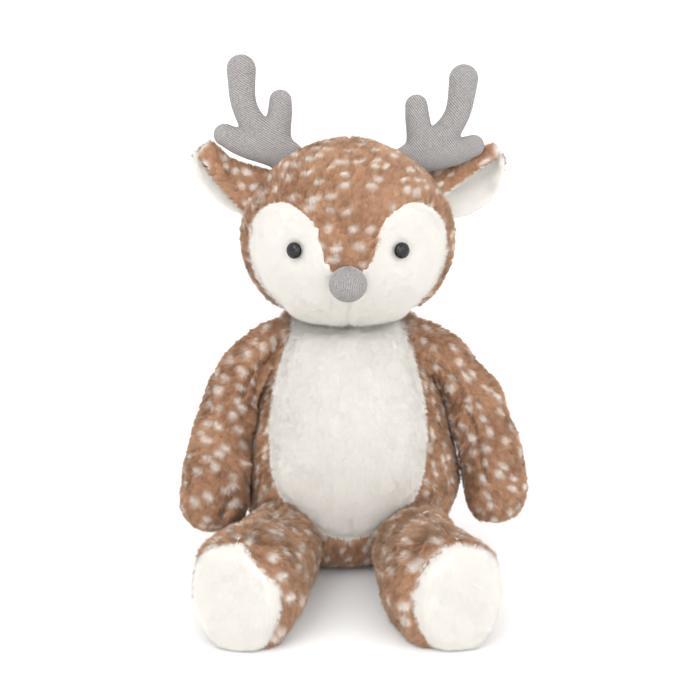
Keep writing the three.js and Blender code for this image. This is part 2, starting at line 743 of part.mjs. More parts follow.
// A closed layer between two depths of a surface given over u and v.
function layer(pointAt, columns, rows, near, farDepth) {
  const points = [];
  for (const depth of [near, farDepth])
    for (let i = 0; i <= columns; i++)
      for (let j = 0; j <= rows; j++) points.push(pointAt(i / columns, j / rows, depth));
  const at = (i, j, side) => side * (columns + 1) * (rows + 1) + i * (rows + 1) + j;
  const index = [];
  const quad = (a, b, c, d) => index.push(a, b, c, a, c, d);
  for (let i = 0; i < columns; i++)
    for (let j = 0; j < rows; j++) {
      quad(at(i, j, 0), at(i + 1, j, 0), at(i + 1, j + 1, 0), at(i, j + 1, 0));
      quad(at(i, j, 1), at(i, j + 1, 1), at(i + 1, j + 1, 1), at(i + 1, j, 1));
    }
  for (let i = 0; i < columns; i++) {
    quad(at(i, 0, 0), at(i, 0, 1), at(i + 1, 0, 1), at(i + 1, 0, 0));
    quad(at(i, rows, 0), at(i + 1, rows, 0), at(i + 1, rows, 1), at(i, rows, 1));
  }
  for (let j = 0; j < rows; j++) {
    quad(at(0, j, 0), at(0, j + 1, 0), at(0, j + 1, 1), at(0, j, 1));
    quad(at(columns, j, 0), at(columns, j, 1), at(columns, j + 1, 1), at(columns, j + 1, 0));
  }
  const geometry = new THREE.BufferGeometry();
  geometry.setAttribute("position", new THREE.Float32BufferAttribute(points.flatMap((p) => p.toArray()), 3));
  geometry.setIndex(index);
  return solidOf(geometry);
}

function makeEar(sign) {
  const root = -earRootSink / earLength;
  const pointAt = (u, v, depth) => earPoint(sign, THREE.MathUtils.lerp(root, 1 - earStep, u), v, depth);
  const back = layer(pointAt, ...earGrid, -earPly - fitGap / 2, -fitGap / 2);
  const lining = layer(pointAt, ...earGrid, fitGap / 2, earPly + fitGap / 2);
  const tilt = rad(sign < 0 ? rightEarTilt : leftEarTilt);
  const foldFront = sign < 0 ? rightEarFoldFront : leftEarFoldFront;
  const hinge = new THREE.Vector3(-sign * Math.sin(tilt), 0, Math.cos(tilt));
  const clear = swept(headKeep, earPivot(sign), hinge, -sign * earFoldBack, sign * foldFront);
  keep(`ear_back_${sideName(sign)}`, main(back.subtract(clear)), brownPlush);
  keep(`ear_lining_${sideName(sign)}`, main(lining.subtract(clear)), creamPlush);
}

// Antlers: a beam and two tines in two knitted halves, stuffed

const beamShares = [
  [0, 0],
  [0.24, 0.16],
  [0.47, 0.34],
  [0.62, 0.53],
  [0.68, 0.71],
  [0.69, 1],
];
const innerTineShares = [
  [0.16, 0.16],
  [0.14, 0.35],
  [0.11, 0.52],
  [0.1, 0.65],
];
const outerTineShares = [
  [0.3, 0.1],
  [0.66, 0.17],
  [0.96, 0.27],
];
const beamWidthShares = [[1.08], [0.98], [0.84], [0.77], [0.79], [0.88]];
const innerTineWidthShares = [[0.82], [0.78], [0.74], [0.68]];
const outerTineWidthShares = [[0.9], [0.82], [0.68]];

// A round-ended stuffed tube along a route in the X-Z plane, flattened front to back.
function tine(sign, placeShares, widthShares, rings, sides, inset) {
  const pivot = antlerPivot(sign);
  const lean = sign < 0 ? 0 : rad(leftAntlerLean);
  const route = placeShares.map(([out, up]) =>
    new THREE.Vector3(sign * out * antlerReach, 0, up * antlerHeight).applyAxisAngle(yAxis, lean).add(pivot),
  );
  const curve = new THREE.CatmullRomCurve3(route);
  const length = curve.getLength();
  const [firstHalf, lastHalf] = [0, 1].map((end) => antlerHalfWidth * rowAt(widthShares, end)[0]);
  const reach = firstHalf + length + lastHalf;
  const stationAt = (share) => {
    const half = antlerHalfWidth * rowAt(widthShares, share)[0];
    const place = (reach * (1 - Math.cos(Math.PI * share))) / 2 - firstHalf;
    const onCurve = THREE.MathUtils.clamp(place / length, 0, 1);
    const past = place - onCurve * length;
    const tangent = curve.getTangentAt(onCurve);
    const round = Math.sqrt(Math.max(0, 1 - (past / half) ** 2));
    return {
      middle: curve.getPointAt(onCurve).addScaledVector(tangent, past),
      side: new THREE.Vector3().crossVectors(tangent, yAxis).multiplyScalar(half * round),
      ahead: along(yAxis, -antlerHalfThickness * round * rowAt(widthShares, share)[0]),
      behind: along(yAxis, antlerHalfThickness * round * rowAt(widthShares, share)[0]),
    };
  };
  return stuffed(stationAt, rings, sides, inset);
}

const antlerForm = (sign, inset, rings = 8, sides = 8) =>
  tine(sign, beamShares, beamWidthShares, rings, sides, inset)
    .add(tine(sign, innerTineShares, innerTineWidthShares, rings - 2, sides, inset))
    .add(tine(sign, outerTineShares, outerTineWidthShares, rings - 2, sides, inset));

const antlerGrid = [7, 6]; // rings and sides of the inner face of an antler's cover

function makeAntler(sign) {
  const pivot = antlerPivot(sign);
  const root = ball(antlerHalfThickness, pivot, antlerRootSides);
  const clear = swept(headKeep, pivot, xAxis, -antlerSway, antlerSway).subtract(root);
  const cover = antlerForm(sign, 0).subtract(antlerForm(sign, knit, ...antlerGrid)).subtract(clear);
  const filling = antlerForm(sign, knit + fitGap, ...antlerGrid).subtract(clear);
  const half = (way) => beyond(pivot, along(yAxis, way), seamGap / 2);
  keep(`antler_front_${sideName(sign)}`, main(cover.intersect(half(-1))), greyKnit);
  keep(`antler_back_${sideName(sign)}`, main(cover.intersect(half(1))), greyKnit);
  keep(`antler_stuffing_${sideName(sign)}`, main(filling), whiteStuffing);
}

// Arms: an outer and an inner panel and their stuffing; the top of each is a ball in the torso's side

// The torso's half width at a place in the Y-Z plane.
function torsoSideAt(y, z) {
  const rowCount = 40;
  let widest = 0;
  for (let i = 0; i < rowCount; i++) {
    const [low, high] = [torsoStation(i / rowCount), torsoStation((i + 1) / rowCount)];
    if (z < low.middle.z || z > high.middle.z) continue;
    const t = (z - low.middle.z) / Math.max(high.middle.z - low.middle.z, fitGap);
    const depth = y < 0 ? -1 : 1;
    const [lowDepth, highDepth] = [low, high].map((ring) => depth * (y < 0 ? ring.ahead.y : ring.behind.y));
    const reach = lowDepth + t * (highDepth - lowDepth);
    const side = low.side.x + t * (high.side.x - low.side.x);
    if (Math.abs(y) < reach) widest = Math.max(widest, side * Math.sqrt(1 - (y / reach) ** 2));
  }
  return widest;
}

// All that an arm meets of the torso's side as it swings, as a dish round the shoulder's axis. At each
// place its floor is as high as the highest that the place passes on its way between the limits.
function armDish(sign) {
  const { pivot, drop, backward } = armFrame(sign);
  const ringCount = 6;
  const sectorCount = 32;
  const stopCount = 16;
  const placeAt = (radius, degrees) => {
    const way = new THREE.Vector3(0, -Math.sin(rad(degrees)), -Math.cos(rad(degrees)));
    return way.multiplyScalar(radius).add(pivot);
  };
  const floorAt = (radius, degrees) => {
    let widest = 0;
    for (let i = 0; i <= stopCount; i++) {
      const met = placeAt(radius, degrees + THREE.MathUtils.lerp(-backward, armForward, i / stopCount));
      widest = Math.max(widest, torsoSideAt(met.y, met.z));
    }
    return widest + fitGap + facetSink;
  };
  const pointAt = (radius, degrees, height) => placeAt(radius, degrees).setX(sign * height);
  const sectors = Array.from({ length: sectorCount }, (_, j) => (360 * j) / sectorCount);
  const rings = [];
  for (let i = 1; i <= ringCount; i++) {
    const radius = (drop * i) / ringCount;
    rings.push(sectors.map((degrees) => pointAt(radius, degrees, floorAt(radius, degrees))));
  }
  rings.push(sectors.map((degrees) => pointAt(drop + fitGap, degrees, 0)));
  const dish = ringed(pointAt(0, 0, floorAt(0, 0)), rings, pointAt(0, 0, 0));
  return solidOf(dish).subtract(ball(shoulderRadius, pivot));
}

const limbGrid = [8, 8]; // rings and sides of the inner face of a limb's skin

const seamLeanShare = 0.6; // how far the plane of an arm's seams leans with the arm
const armForm = (sign, inset, rings = 11, sides = 12) => stuffed(armStation(sign), rings, sides, inset);

function makeArm(sign) {
  const { reach, drop, down } = armFrame(sign);
  const seam = new THREE.Vector3(sign * drop, 0, 0).addScaledVector(down, -reach * seamLeanShare).normalize();
  const seamPoint = armRoute(sign).getPointAt(1 / 2);
  const dish = armDish(sign);
  const skin = armForm(sign, 0).subtract(armForm(sign, plush, ...limbGrid)).subtract(dish);
  const half = (way) => beyond(seamPoint, along(seam, way), seamGap / 2);
  keep(`arm_outer_${sideName(sign)}`, main(skin.intersect(half(1))), brownPlush);
  keep(`arm_inner_${sideName(sign)}`, main(skin.intersect(half(-1))), brownPlush);
  const filling = armForm(sign, plush + fitGap, ...limbGrid).subtract(dish);
  keep(`arm_stuffing_${sideName(sign)}`, main(filling), whiteStuffing);
}

// Legs: an outer and an inner panel, a cream sole and their stuffing; each starts in a ball at the hip

const legForm = (sign, inset, rings = 12, sides = 12) => stuffed(legStation(sign), rings, sides, inset);

function makeLeg(sign) {
  const { pivot, ahead, out } = legFrame(sign);
  const torsoSweep = swept(torsoForm(-2 * fitGap), pivot, xAxis, -legDown, legUp);
  const clear = torsoSweep.subtract(ball(hipRadius, pivot));
  const within = (inset) => legForm(sign, inset, ...limbGrid).intersect(beyond(origin, zAxis, inset));
  const skin = legForm(sign, 0).intersect(aboveFloor).subtract(within(plush)).subtract(clear);
  const soleSeam = legLength - hipRadius - soleDepth;
  const upper = skin.intersect(beyond(pivot, along(ahead, -1), seamGap - soleSeam));
  const half = (way) => beyond(pivot, along(out, way), seamGap / 2);
  const stuffing = within(plush + fitGap).subtract(clear);
  keep(`leg_outer_${sideName(sign)}`, main(upper.intersect(half(1))), brownPlush);
  keep(`leg_inner_${sideName(sign)}`, main(upper.intersect(half(-1))), brownPlush);
  keep(`sole_${sideName(sign)}`, main(skin.intersect(beyond(pivot, ahead, soleSeam))), creamPlush);
  keep(`leg_stuffing_${sideName(sign)}`, main(stuffing), whiteStuffing);
}

// Tail: a brown upper half and a cream under half

const tailShares = [
  [0, 0],
  [0.55, 0.7],
  [0.85, 0.95],
  [1, 1],
  [0.92, 0.9],
  [0.65, 0.62],
  [0, 0],
];

function makeTail() {
  const pivot = new THREE.Vector3(0, 0, tailUp);
  while (torsoSideAt(pivot.y, pivot.z) > 0) pivot.y += fitGap;
  const length = new THREE.Vector3(0, Math.cos(rad(tailLift)), Math.sin(rad(tailLift)));
  const over = new THREE.Vector3(0, -Math.sin(rad(tailLift)), Math.cos(rad(tailLift)));
  const stationAt = (share) => {
    const [width, depth] = rowAt(tailShares, share);
    return {
      middle: pivot.clone().addScaledVector(length, share * (tailLength + tailHalfDepth) - tailHalfDepth),
      side: along(xAxis, tailHalfWidth * width),
      ahead: along(over, -tailHalfDepth * depth),
      behind: along(over, tailHalfDepth * depth),
    };
  };
  const form = stuffed(stationAt, ...limbGrid);
  const clear = swept(torsoForm(-fitGap), pivot, xAxis, -tailRaise, tailDrop);
  const half = (way) => beyond(pivot, along(over, way), seamGap / 2);
  keep("tail_top", main(form.subtract(clear).intersect(half(1))), brownPlush);
  keep("tail_under", main(form.subtract(clear).intersect(half(-1))), creamPlush);
}

makeTorso();
makeNeck();
makeHead();
for (const sign of leftRight) {
  makeEar(sign);
  makeAntler(sign);
  makeArm(sign);
  makeLeg(sign);
}
makeTail();

export default deer;
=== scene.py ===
import math

import bpy
import numpy as np
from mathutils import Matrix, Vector


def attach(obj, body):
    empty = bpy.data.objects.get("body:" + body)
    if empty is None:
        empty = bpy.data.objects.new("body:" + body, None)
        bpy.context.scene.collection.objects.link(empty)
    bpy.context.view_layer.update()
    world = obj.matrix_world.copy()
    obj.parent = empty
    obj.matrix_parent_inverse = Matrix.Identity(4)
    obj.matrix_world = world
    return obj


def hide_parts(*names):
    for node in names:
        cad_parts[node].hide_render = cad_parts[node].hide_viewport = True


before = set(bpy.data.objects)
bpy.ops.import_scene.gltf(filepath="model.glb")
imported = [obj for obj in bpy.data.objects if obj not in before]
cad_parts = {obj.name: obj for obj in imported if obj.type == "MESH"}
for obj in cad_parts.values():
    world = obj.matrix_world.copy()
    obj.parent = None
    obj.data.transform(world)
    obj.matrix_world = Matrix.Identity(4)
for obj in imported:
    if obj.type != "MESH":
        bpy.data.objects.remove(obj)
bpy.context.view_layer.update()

bl_info = {
    "name": "Plush Deer",
    "version": (1, 0, 0),
    "blender": (4, 5, 0),
    "location": "View3D > Sidebar > Deer",
    "description": "Dresses a seated plush deer in spotted pile, knit and glossy eyes",
    "category": "Add Mesh",
}


# Sizes and colours that a user would change


def length(name, description, default):
    """A property for a length in metres."""
    return bpy.props.FloatProperty(
        name=name, description=description, default=default, min=0, unit="LENGTH", precision=4
    )


def share(name, description, default):
    """A property for a share from 0 to 1."""
    return bpy.props.FloatProperty(
        name=name, description=description, default=default, min=0, max=1, subtype="FACTOR"
    )


def angle(name, description, degrees):
    """A property for an angle."""
    return bpy.props.FloatProperty(
        name=name, description=description, default=math.radians(degrees), subtype="ANGLE"
    )


def tint(name, description, default):
    """A property for a colour in linear light."""
    return bpy.props.FloatVectorProperty(
        name=name, description=description, default=default, min=0, max=1, size=3, subtype="COLOR"
    )


class DeerSizes(bpy.types.PropertyGroup):
    torso_height: length("Torso Height", "From the seat to the torso's top", 0.170)
    torso_half_width: length("Torso Half Width", "Widest reach to the side", 0.0695)
    torso_front: length("Torso Front", "Widest reach ahead", 0.061)
    torso_back: length("Torso Back", "Widest reach behind", 0.053)
    belly_half_width: length("Belly Half Width", "Half the cream belly's width", 0.0505)
    belly_top: length("Belly Top", "Height at which the belly panel ends", 0.182)
    belly_bottom: length("Belly Bottom", "Height at which the belly panel starts", 0.029)
    seat_half_width: length("Seat Half Width", "Half the width of the oval seat", 0.040)
    seat_half_depth: length("Seat Half Depth", "Half the depth of the oval seat", 0.032)
    head_height: length("Head Height", "From the chin to the crown", 0.122)
    head_half_width: length("Head Half Width", "Widest reach to the side", 0.0685)
    head_front: length("Head Front", "Widest reach ahead, without the muzzle", 0.059)
    head_back: length("Head Back", "Widest reach behind", 0.057)
    head_sink: length("Head Sink", "How far the chin lies below the torso's top", 0.012)
    head_forward: length("Head Forward", "The head's middle ahead of the seat's", 0.005)
    muzzle_reach: length("Muzzle Reach", "How far the muzzle swells ahead", 0.006)
    muzzle_spread: length("Muzzle Spread", "How far the muzzle's swelling spreads", 0.026)
    muzzle_below: length("Muzzle Below", "The muzzle's middle below the head's", 0.020)
    arm_half_width: length("Arm Half Width", "Half the hand's width", 0.023)
    arm_half_depth: length("Arm Half Depth", "Half the hand's depth", 0.0215)
    shoulder_radius: length("Shoulder Radius", "Of the ball at the top of the arm", 0.018)
    torso_swell: length("Torso Swell", "How far the torso swells towards its left arm", 0.0055)
    shoulder_dent: length("Shoulder Dent", "How much flatter the left shoulder is on its outer side", 0.003)
    hand_dent: length("Hand Dent", "How much slimmer the left hand is on its inner side", 0.0042)
    shoulder_out: length("Shoulder Out", "From the deer's middle to the shoulder's", 0.038)
    shoulder_up: length("Shoulder Up", "Height of the shoulder's middle", 0.144)
    left_arm_drop: length("Left Arm Drop", "From the left shoulder down to the hand's end", 0.119)
    right_arm_drop: length("Right Arm Drop", "From the right shoulder down to the hand's end", 0.123)
    left_arm_reach: length("Left Arm Reach", "From the left shoulder out to the hand", 0.062)
    right_arm_reach: length("Right Arm Reach", "From the right shoulder out to the hand", 0.052)
    left_arm_swing: angle("Left Arm Swing", "How far forward the left arm lies", 6)
    right_arm_swing: angle("Right Arm Swing", "How far forward the right arm lies", 16)
    leg_length: length("Leg Length", "From the back of the hip to the sole", 0.158)
    leg_half_width: length("Leg Half Width", "Half the foot's width", 0.0285)
    foot_height: length("Foot Height", "Height of the sole", 0.068)
    hip_radius: length("Hip Radius", "Of the ball at the back of the leg", 0.025)
    hip_out: length("Hip Out", "From the deer's middle to the hip's", 0.040)
    hip_up: length("Hip Up", "Height of the hip's middle", 0.026)
    hip_forward: length("Hip Forward", "The hip's middle ahead of the seat's", 0.034)
    leg_sag: length("Leg Sag", "How much farther a leg swells down than up", 0.004)
    left_leg_bulge: length("Left Leg Bulge", "How far the left leg swells inwards", 0.0085)
    right_leg_bulge: length("Right Leg Bulge", "How far the right leg swells inwards", 0.004)
    leg_splay: angle("Leg Splay", "How far the legs point outwards", 11)
    thigh_dent: length("Thigh Dent", "How much flatter the thighs are above", 0.0032)
    left_sole_corner: share("Left Sole Corner", "Where its seam cuts off the upper inner corner", 0.66)
    right_sole_corner: share("Right Sole Corner", "Where its seam cuts off the upper inner corner", 0.54)
    leg_corner: length("Leg Corner", "How far the upper outer corner of each foot is filled out", 0.0038)
    sole_depth: length("Sole Depth", "From the foot's front to the sole's seam", 0.007)
    antler_half_thickness: length("Antler Half Thickness", "Half the beam's thickness", 0.0085)
    antler_half_width: length("Antler Half Width", "Half the beam's width", 0.011)
    antler_height: length("Antler Height", "From the root to the middle of the beam's tip", 0.057)
    antler_reach: length("Antler Reach", "From the root to the middle of the outer tip", 0.042)
    antler_root_out: length("Antler Root Out", "From the deer's middle to the root", 0.039)
    antler_root_above: length("Antler Root Above", "The root above the head's middle", 0.046)
    tine_shift: length("Tine Shift", "How far the left inner tine's tip stands further in", 0.0033)
    antler_drop: length("Antler Drop", "How much lower the left antler stands than the solid", 0.0028)
    antler_lean: angle("Antler Lean", "How much farther out the left antler leans", 6)
    ear_length: length("Ear Length", "From the root to the tip", 0.053)
    ear_root_out: length("Ear Root Out", "From the deer's middle to an ear's root", 0.055)
    ear_root_above: length("Ear Root Above", "An ear's root above the head's middle", 0.026)
    ear_root_sink: length("Ear Root Sink", "How far an ear runs into the head", 0.007)
    ear_ply: length("Ear Ply", "Thickness of each of an ear's layers", 0.0024)
    left_ear_hollow: length("Left Ear Hollow", "Depth of the left ear's lining", 0.005)
    right_ear_hollow: length("Right Ear Hollow", "Depth of the right ear's lining", 0.004)
    left_ear_flap: length("Left Ear Flap", "How far the left ear's folded edge swells", 0.003)
    right_ear_flap: length("Right Ear Flap", "How far the right ear's folded edge swells", 0.006)
    eye_radius: length("Eye Radius", "Of the black plastic eyes", 0.0051)
    eye_bulge: length("Eye Bulge", "How far the eyes stand off the cheek", 0.0034)
    eye_out: length("Eye Out", "From the face's middle to an eye", 0.033)
    eye_below: length("Eye Below", "The eyes below the head's middle", 0.002)
    nose_half_width: length("Nose Half Width", "Half the nose's width", 0.0118)
    nose_half_height: length("Nose Half Height", "Half the nose's height", 0.011)
    nose_half_depth: length("Nose Half Depth", "Half the nose's depth", 0.010)
    nose_proud: length("Nose Proud", "How far the nose stands off the face", 0.015)
    tail_length: length("Tail Length", "From the back to the tail's tip", 0.040)
    tail_half_width: length("Tail Half Width", "Half the tail's width", 0.014)
    tail_half_depth: length("Tail Half Depth", "Half the tail's thickness", 0.007)
    tail_up: length("Tail Up", "Height of the tail's root", 0.048)
    tail_lift: angle("Tail Lift", "How far the tail points up", 50)


class DeerPile(bpy.types.PropertyGroup):
    cloth_inset: length("Cloth Inset", "From the outer surface in to the backing cloth", 0.0022)
    filling_inset: length("Filling Inset", "From the outer surface in to the stuffing", 0.0040)
    brown_length: length("Brown Length", "Length of the brown pile", 0.0044)
    cream_length: length("Cream Length", "Length of the cream pile", 0.0032)
    strand_width: length("Strand Width", "Width of a lock of pile at its root", 0.00046)
    clump: length("Clump", "Distance between locks that lean together", 0.0036)
    spot_row: length("Spot Row", "Distance between rows of fawn spots", 0.0095)
    spot_pitch: length("Spot Pitch", "Distance between spots of a row", 0.0115)
    spot_length: length("Spot Length", "Half a fawn spot's length", 0.0037)
    spot_width: length("Spot Width", "Half a fawn spot's width", 0.0022)
    rib_pitch: length("Rib Pitch", "Distance between the ribs of the knit", 0.00130)


class DeerColours(bpy.types.PropertyGroup):
    # Each pile runs from its root colour, darkened by painted shade deep in the pile, to its tip colour,
    # lightened by painted light on the tips
    brown: tint("Brown", "Tips of the brown pile", (0.62, 0.36, 0.222))
    brown_root: tint("Brown Root", "Roots of the brown pile", (0.26, 0.125, 0.068))
    spot: tint("Spot", "The fawn spots", (0.95, 0.88, 0.80))
    cream: tint("Cream", "Tips of the cream pile", (0.93, 0.90, 0.845))
    cream_root: tint("Cream Root", "Roots of the cream pile", (0.84, 0.80, 0.74))
    # The knit's light and dark colours are painted light on the ribs' crests and painted shade in their
    # hollows
    knit_light: tint("Knit Light", "Light yarn of the grey knit", (0.49, 0.465, 0.455))
    knit_dark: tint("Knit Dark", "Dark yarn of the grey knit", (0.10, 0.095, 0.095))
    eye: tint("Eye", "The plastic eyes", (0.006, 0.006, 0.007))
    floor: tint("Floor", "The plain floor", (0.93, 0.93, 0.925))


SIDES = {"l": 1, "r": -1}
X, Y, Z = np.eye(3)


def sided(s, sign, *names):
    """The sizes of these names for the left side (1) or the right (-1)."""
    found = [getattr(s, f"{'right' if sign < 0 else 'left'}_{name}") for name in names]
    return found if len(names) > 1 else found[0]


# Numbers on whole arrays


def unit(v):
    """Each vector over its own length."""
    return v / np.maximum(np.linalg.norm(v, axis=-1, keepdims=True), 1e-12)


def dot(a, b):
    """The product of two arrays of vectors, with one number for each pair."""
    return np.sum(a * b, axis=-1, keepdims=True)


def ramp(low, high, x):
    """0 below low, 1 above high and a smooth rise of 3t² - 2t³ between them."""
    t = np.clip((x - low) / (high - low), 0, 1)
    return t * t * (3 - 2 * t)


def groove(gone, relief, power=2):
    """The depth of a sunk line or dent at a distance from it: whole on it, and less by a bell curve
    of its width."""
    depth, width = relief
    return depth * np.exp(-((gone / width) ** power))


def patch(x, z, place):
    """A share from 0 to 1 round a place of the X-Z plane, by a bell curve of its own width and
    height."""
    x0, wide, z0, tall = place
    return np.exp(-(((x - x0) / wide) ** 2) - ((z - z0) / tall) ** 2)


def row_at(table, place):
    """Rows of a table at shares from 0 to 1: a cubic between neighbouring rows, whose slope at each
    row is half the step between the rows on its two sides."""
    rows = np.asarray(table, float)
    where = np.clip(place, 0, 1) * (len(rows) - 1)
    first = np.minimum(where.astype(int), len(rows) - 2)
    t = (where - first)[..., None]
    near = lambda i: rows[np.clip(i, 0, len(rows) - 1)]
    value, after = near(first), near(first + 1)
    slope_in, slope_out = (after - near(first - 1)) / 2, (near(first + 2) - value) / 2
    bend = 3 * (after - value) - 2 * slope_in - slope_out
    curl = 2 * (value - after) + slope_in + slope_out
    return value + t * (slope_in + t * (bend + t * curl))


def turned(points, pivot, axis, radians):
    """Points turned about an axis through a pivot: the part along the axis stays, the rest goes
    round by the cosine and the sine."""
    v, axis = points - pivot, unit(np.asarray(axis, float))
    along = dot(v, axis) * axis
    return pivot + along + math.cos(radians) * (v - along) + math.sin(radians) * np.cross(axis, v)


def scramble(cells, seed):
    """Four even random numbers for each whole-number cell, by multiplying and folding the bits of
    its three numbers."""
    c = cells.astype(np.int64).astype(np.uint32)
    h = c[..., 0] * np.uint32(0x8DA6B343) ^ c[..., 1] * np.uint32(0xD8163841)
    h = h ^ c[..., 2] * np.uint32(0xCB1AB31F) ^ np.uint32(seed * 7919 + 17)
    found = []
    for _ in range(4):
        h = (h ^ (h >> np.uint32(13))) * np.uint32(0x5BD1E995)
        h = (h ^ (h >> np.uint32(15))) * np.uint32(0x27D4EB2F)
        found.append((h >> np.uint32(8)) / 2.0**24)
    return np.stack(found, axis=-1)


NEIGHBOURS = np.stack(np.meshgrid([-1, 0, 1], [-1, 0, 1], [-1, 0, 1]), axis=-1).reshape(-1, 3)


def waves(points, size, seed):
    """A smooth random number from about -1 to 1: the sum of six sines with random directions, each
    about a size long."""
    rng = np.random.default_rng(seed)
    ways = unit(rng.normal(size=(6, 3))) * rng.uniform(0.7, 1.4, (6, 1)) * 2 * math.pi / size
    return np.sin(points @ ways.T + rng.uniform(0, 2 * math.pi, 6)).sum(axis=-1) / 2.6


def inside_outline(x, z, outline):
    """Whether points of the X-Z plane lie within a closed outline: an upward ray from each crosses
    its edges an odd number of times."""
    odd = np.zeros(x.shape, bool)
    for (x0, z0), (x1, z1) in zip(outline, np.roll(outline, -1, axis=0)):
        if x0 == x1:
            continue
        crosses = (x0 <= x) != (x1 <= x)
        odd ^= crosses & (z < z0 + (x - x0) * (z1 - z0) / (x1 - x0))
    return odd


def away_from(x, z, line):
    """The distance in the X-Z plane from points to a broken line."""
    best = np.full(x.shape, np.inf)
    for (x0, z0), (x1, z1) in zip(line[:-1], line[1:]):
        dx, dz = x1 - x0, z1 - z0
        t = np.clip(((x - x0) * dx + (z - z0) * dz) / max(dx * dx + dz * dz, 1e-12), 0, 1)
        best = np.minimum(best, np.hypot(x - x0 - t * dx, z - z0 - t * dz))
    return best


def pushed(points, way, blocked, reach=0.06, steps=80):
    """Points that are blocked move along a way until they are free, by equal steps and then ten
    halvings."""
    free = np.zeros(len(points))
    held = blocked(points)
    for i in range(1, steps + 1):
        if not held.any():
            break
        free[held] = reach * i / steps
        held[held] = blocked((points + free[:, None] * way)[held])
    low, high = np.maximum(free - reach / steps, 0), free.copy()
    moved = free > 0
    for _ in range(10):
        half = (low + high) / 2
        stuck = blocked(points + half[:, None] * way)
        low, high = np.where(moved & stuck, half, low), np.where(moved & ~stuck, half, high)
    return points + np.where(moved, high, 0)[:, None] * way


# Forms, with the same tables as the solids

TORSO = [
    [0, 0, 0, 0],
    [0, 0.45, 0.4, 0.45],
    [0.035, 0.76, 0.7, 0.74],
    [0.13, 0.93, 0.91, 0.92],
    [0.28, 1, 1, 1],
    [0.43, 0.97, 0.99, 0.98],
    [0.59, 0.89, 0.92, 0.93],
    [0.74, 0.79, 0.8, 0.84],
    [0.87, 0.7, 0.68, 0.72],
    [0.96, 0.56, 0.54, 0.58],
    [1, 0, 0, 0],
]
BELLY = [
    [0, 0],
    [0.34, 0.03],
    [0.66, 0.1],
    [0.9, 0.2],
    [1, 0.36],
    [0.97, 0.54],
    [0.84, 0.73],
    [0.64, 0.9],
    [0.6, 1],
]
CHEEK = [
    [0, -0.27],
    [0.14, -0.22],
    [0.21, -0.11],
    [0.245, 0.05],
    [0.28, 0.18],
    [0.38, 0.31],
    [0.56, 0.4],
    [0.74, 0.33],
    [0.85, 0.18],
    [0.88, -0.03],
    [0.86, -0.26],
    [0.77, -0.5],
    [0.62, -0.72],
    [0.56, -1.2],
]
HEAD_TAPER = 0.07
ARM = [
    [0, 0],
    [0.5, 0.52],
    [0.78, 0.82],
    [0.82, 0.86],
    [0.84, 0.88],
    [0.9, 0.92],
    [1, 1],
    [0.98, 0.96],
    [0.66, 0.66],
    [0, 0],
]
ARM_ROUTE = [[-0.34, 0], [0, 0], [0.38, 0.08], [0.66, 0.25], [0.84, 0.5], [0.94, 0.78], [1, 1]]
LEG = [
    [0, 0, 0, 0],
    [0.03, 0.66, 0.58, 0],
    [0.12, 0.93, 0.78, 0],
    [0.26, 0.96, 0.77, 0.2],
    [0.44, 0.99, 0.83, 0.6],
    [0.62, 1.03, 0.93, 0.9],
    [0.78, 1.08, 1.02, 1],
    [0.91, 1.06, 1.04, 0.6],
    [0.975, 0.87, 0.93, 0],
    [0.998, 0.6, 0.66, 0],
    [1, 0, 0, 0],
]
TAIL = [[0, 0], [0.55, 0.7], [0.85, 0.95], [1, 1], [0.92, 0.9], [0.65, 0.62], [0, 0]]
FLOOR_PRESS = 0.0005
FLOOR_CLEAR = 0.0002


class Surface:
    """A closed form on a grid of rows from pole to pole and sides around, with its outward normals
    and named fields."""

    def __init__(self, points):
        self.points = points
        self.fields = {}
        self.refresh()

    def refresh(self):
        """Normals square to the two directions of the grid, turned away from each ring's middle."""
        p = self.points
        along = np.gradient(p, axis=0)
        around = np.roll(p, -1, axis=1) - np.roll(p, 1, axis=1)
        n = unit(np.cross(around, along))
        middle = p.mean(axis=1, keepdims=True)
        if np.mean(dot(n[2:-2], (p - middle)[2:-2])) < 0:
            n = -n
        n[0], n[-1] = unit(n[1].mean(axis=0)), unit(n[-2].mean(axis=0))
        self.normals = n
        return self

    def moved(self, offset):
        """The same form with each point moved along its normal."""
        offset = np.asarray(offset)
        offset = offset[..., None] if offset.ndim else offset
        made = Surface(self.points + self.normals * offset)
        made.fields = dict(self.fields)
        return made


def thinned(surface):
    """Every second row and side of a form."""
    made = Surface(surface.points[::2, ::2])
    made.normals = surface.normals[::2, ::2]
    made.fields = {key: value[::2, ::2] for key, value in surface.fields.items()}
    return made


def stuffed(station, rows, sides):
    """A stuffed form: round each middle, a ring reaches out by the cosine to the side and by the
    sine ahead or behind."""
    middle, side, ahead, behind = station(np.linspace(0, 1, rows + 1))
    turn = 2 * math.pi * np.arange(sides) / sides
    cos, sin = np.cos(turn)[None, :, None], np.sin(turn)[None, :, None]
    depth = np.where(sin < 0, ahead[:, None], behind[:, None])
    return Surface(middle[:, None] + side[:, None] * cos + depth * np.abs(sin))


def torso_station(s):
    """Middles up the Z axis with the table's reach to the side, ahead and behind."""

    def station(place):
        h, side, ahead, behind = row_at(TORSO, place).T
        middle = np.outer(s.torso_height * h - FLOOR_PRESS, Z)
        return (
            middle,
            np.outer(s.torso_half_width * side, X),
            np.outer(-s.torso_front * ahead, Y),
            np.outer(s.torso_back * behind, Y),
        )

    return station


def ball_station(middle, half_width, half_depth, half_height):
    """Rings of a ball: each reaches by the sine of its polar angle and stands by the cosine."""
    return lambda place: (
        middle - np.outer(half_height * np.cos(math.pi * place), Z),
        np.outer(half_width * np.sin(math.pi * place), X),
        np.outer(-half_depth * np.sin(math.pi * place), Y),
        np.outer(half_depth * np.sin(math.pi * place), Y),
    )


def head_middle(s):
    """The middle of the head's egg."""
    return np.array([0, -s.head_forward, s.torso_height - s.head_sink + s.head_height / 2])


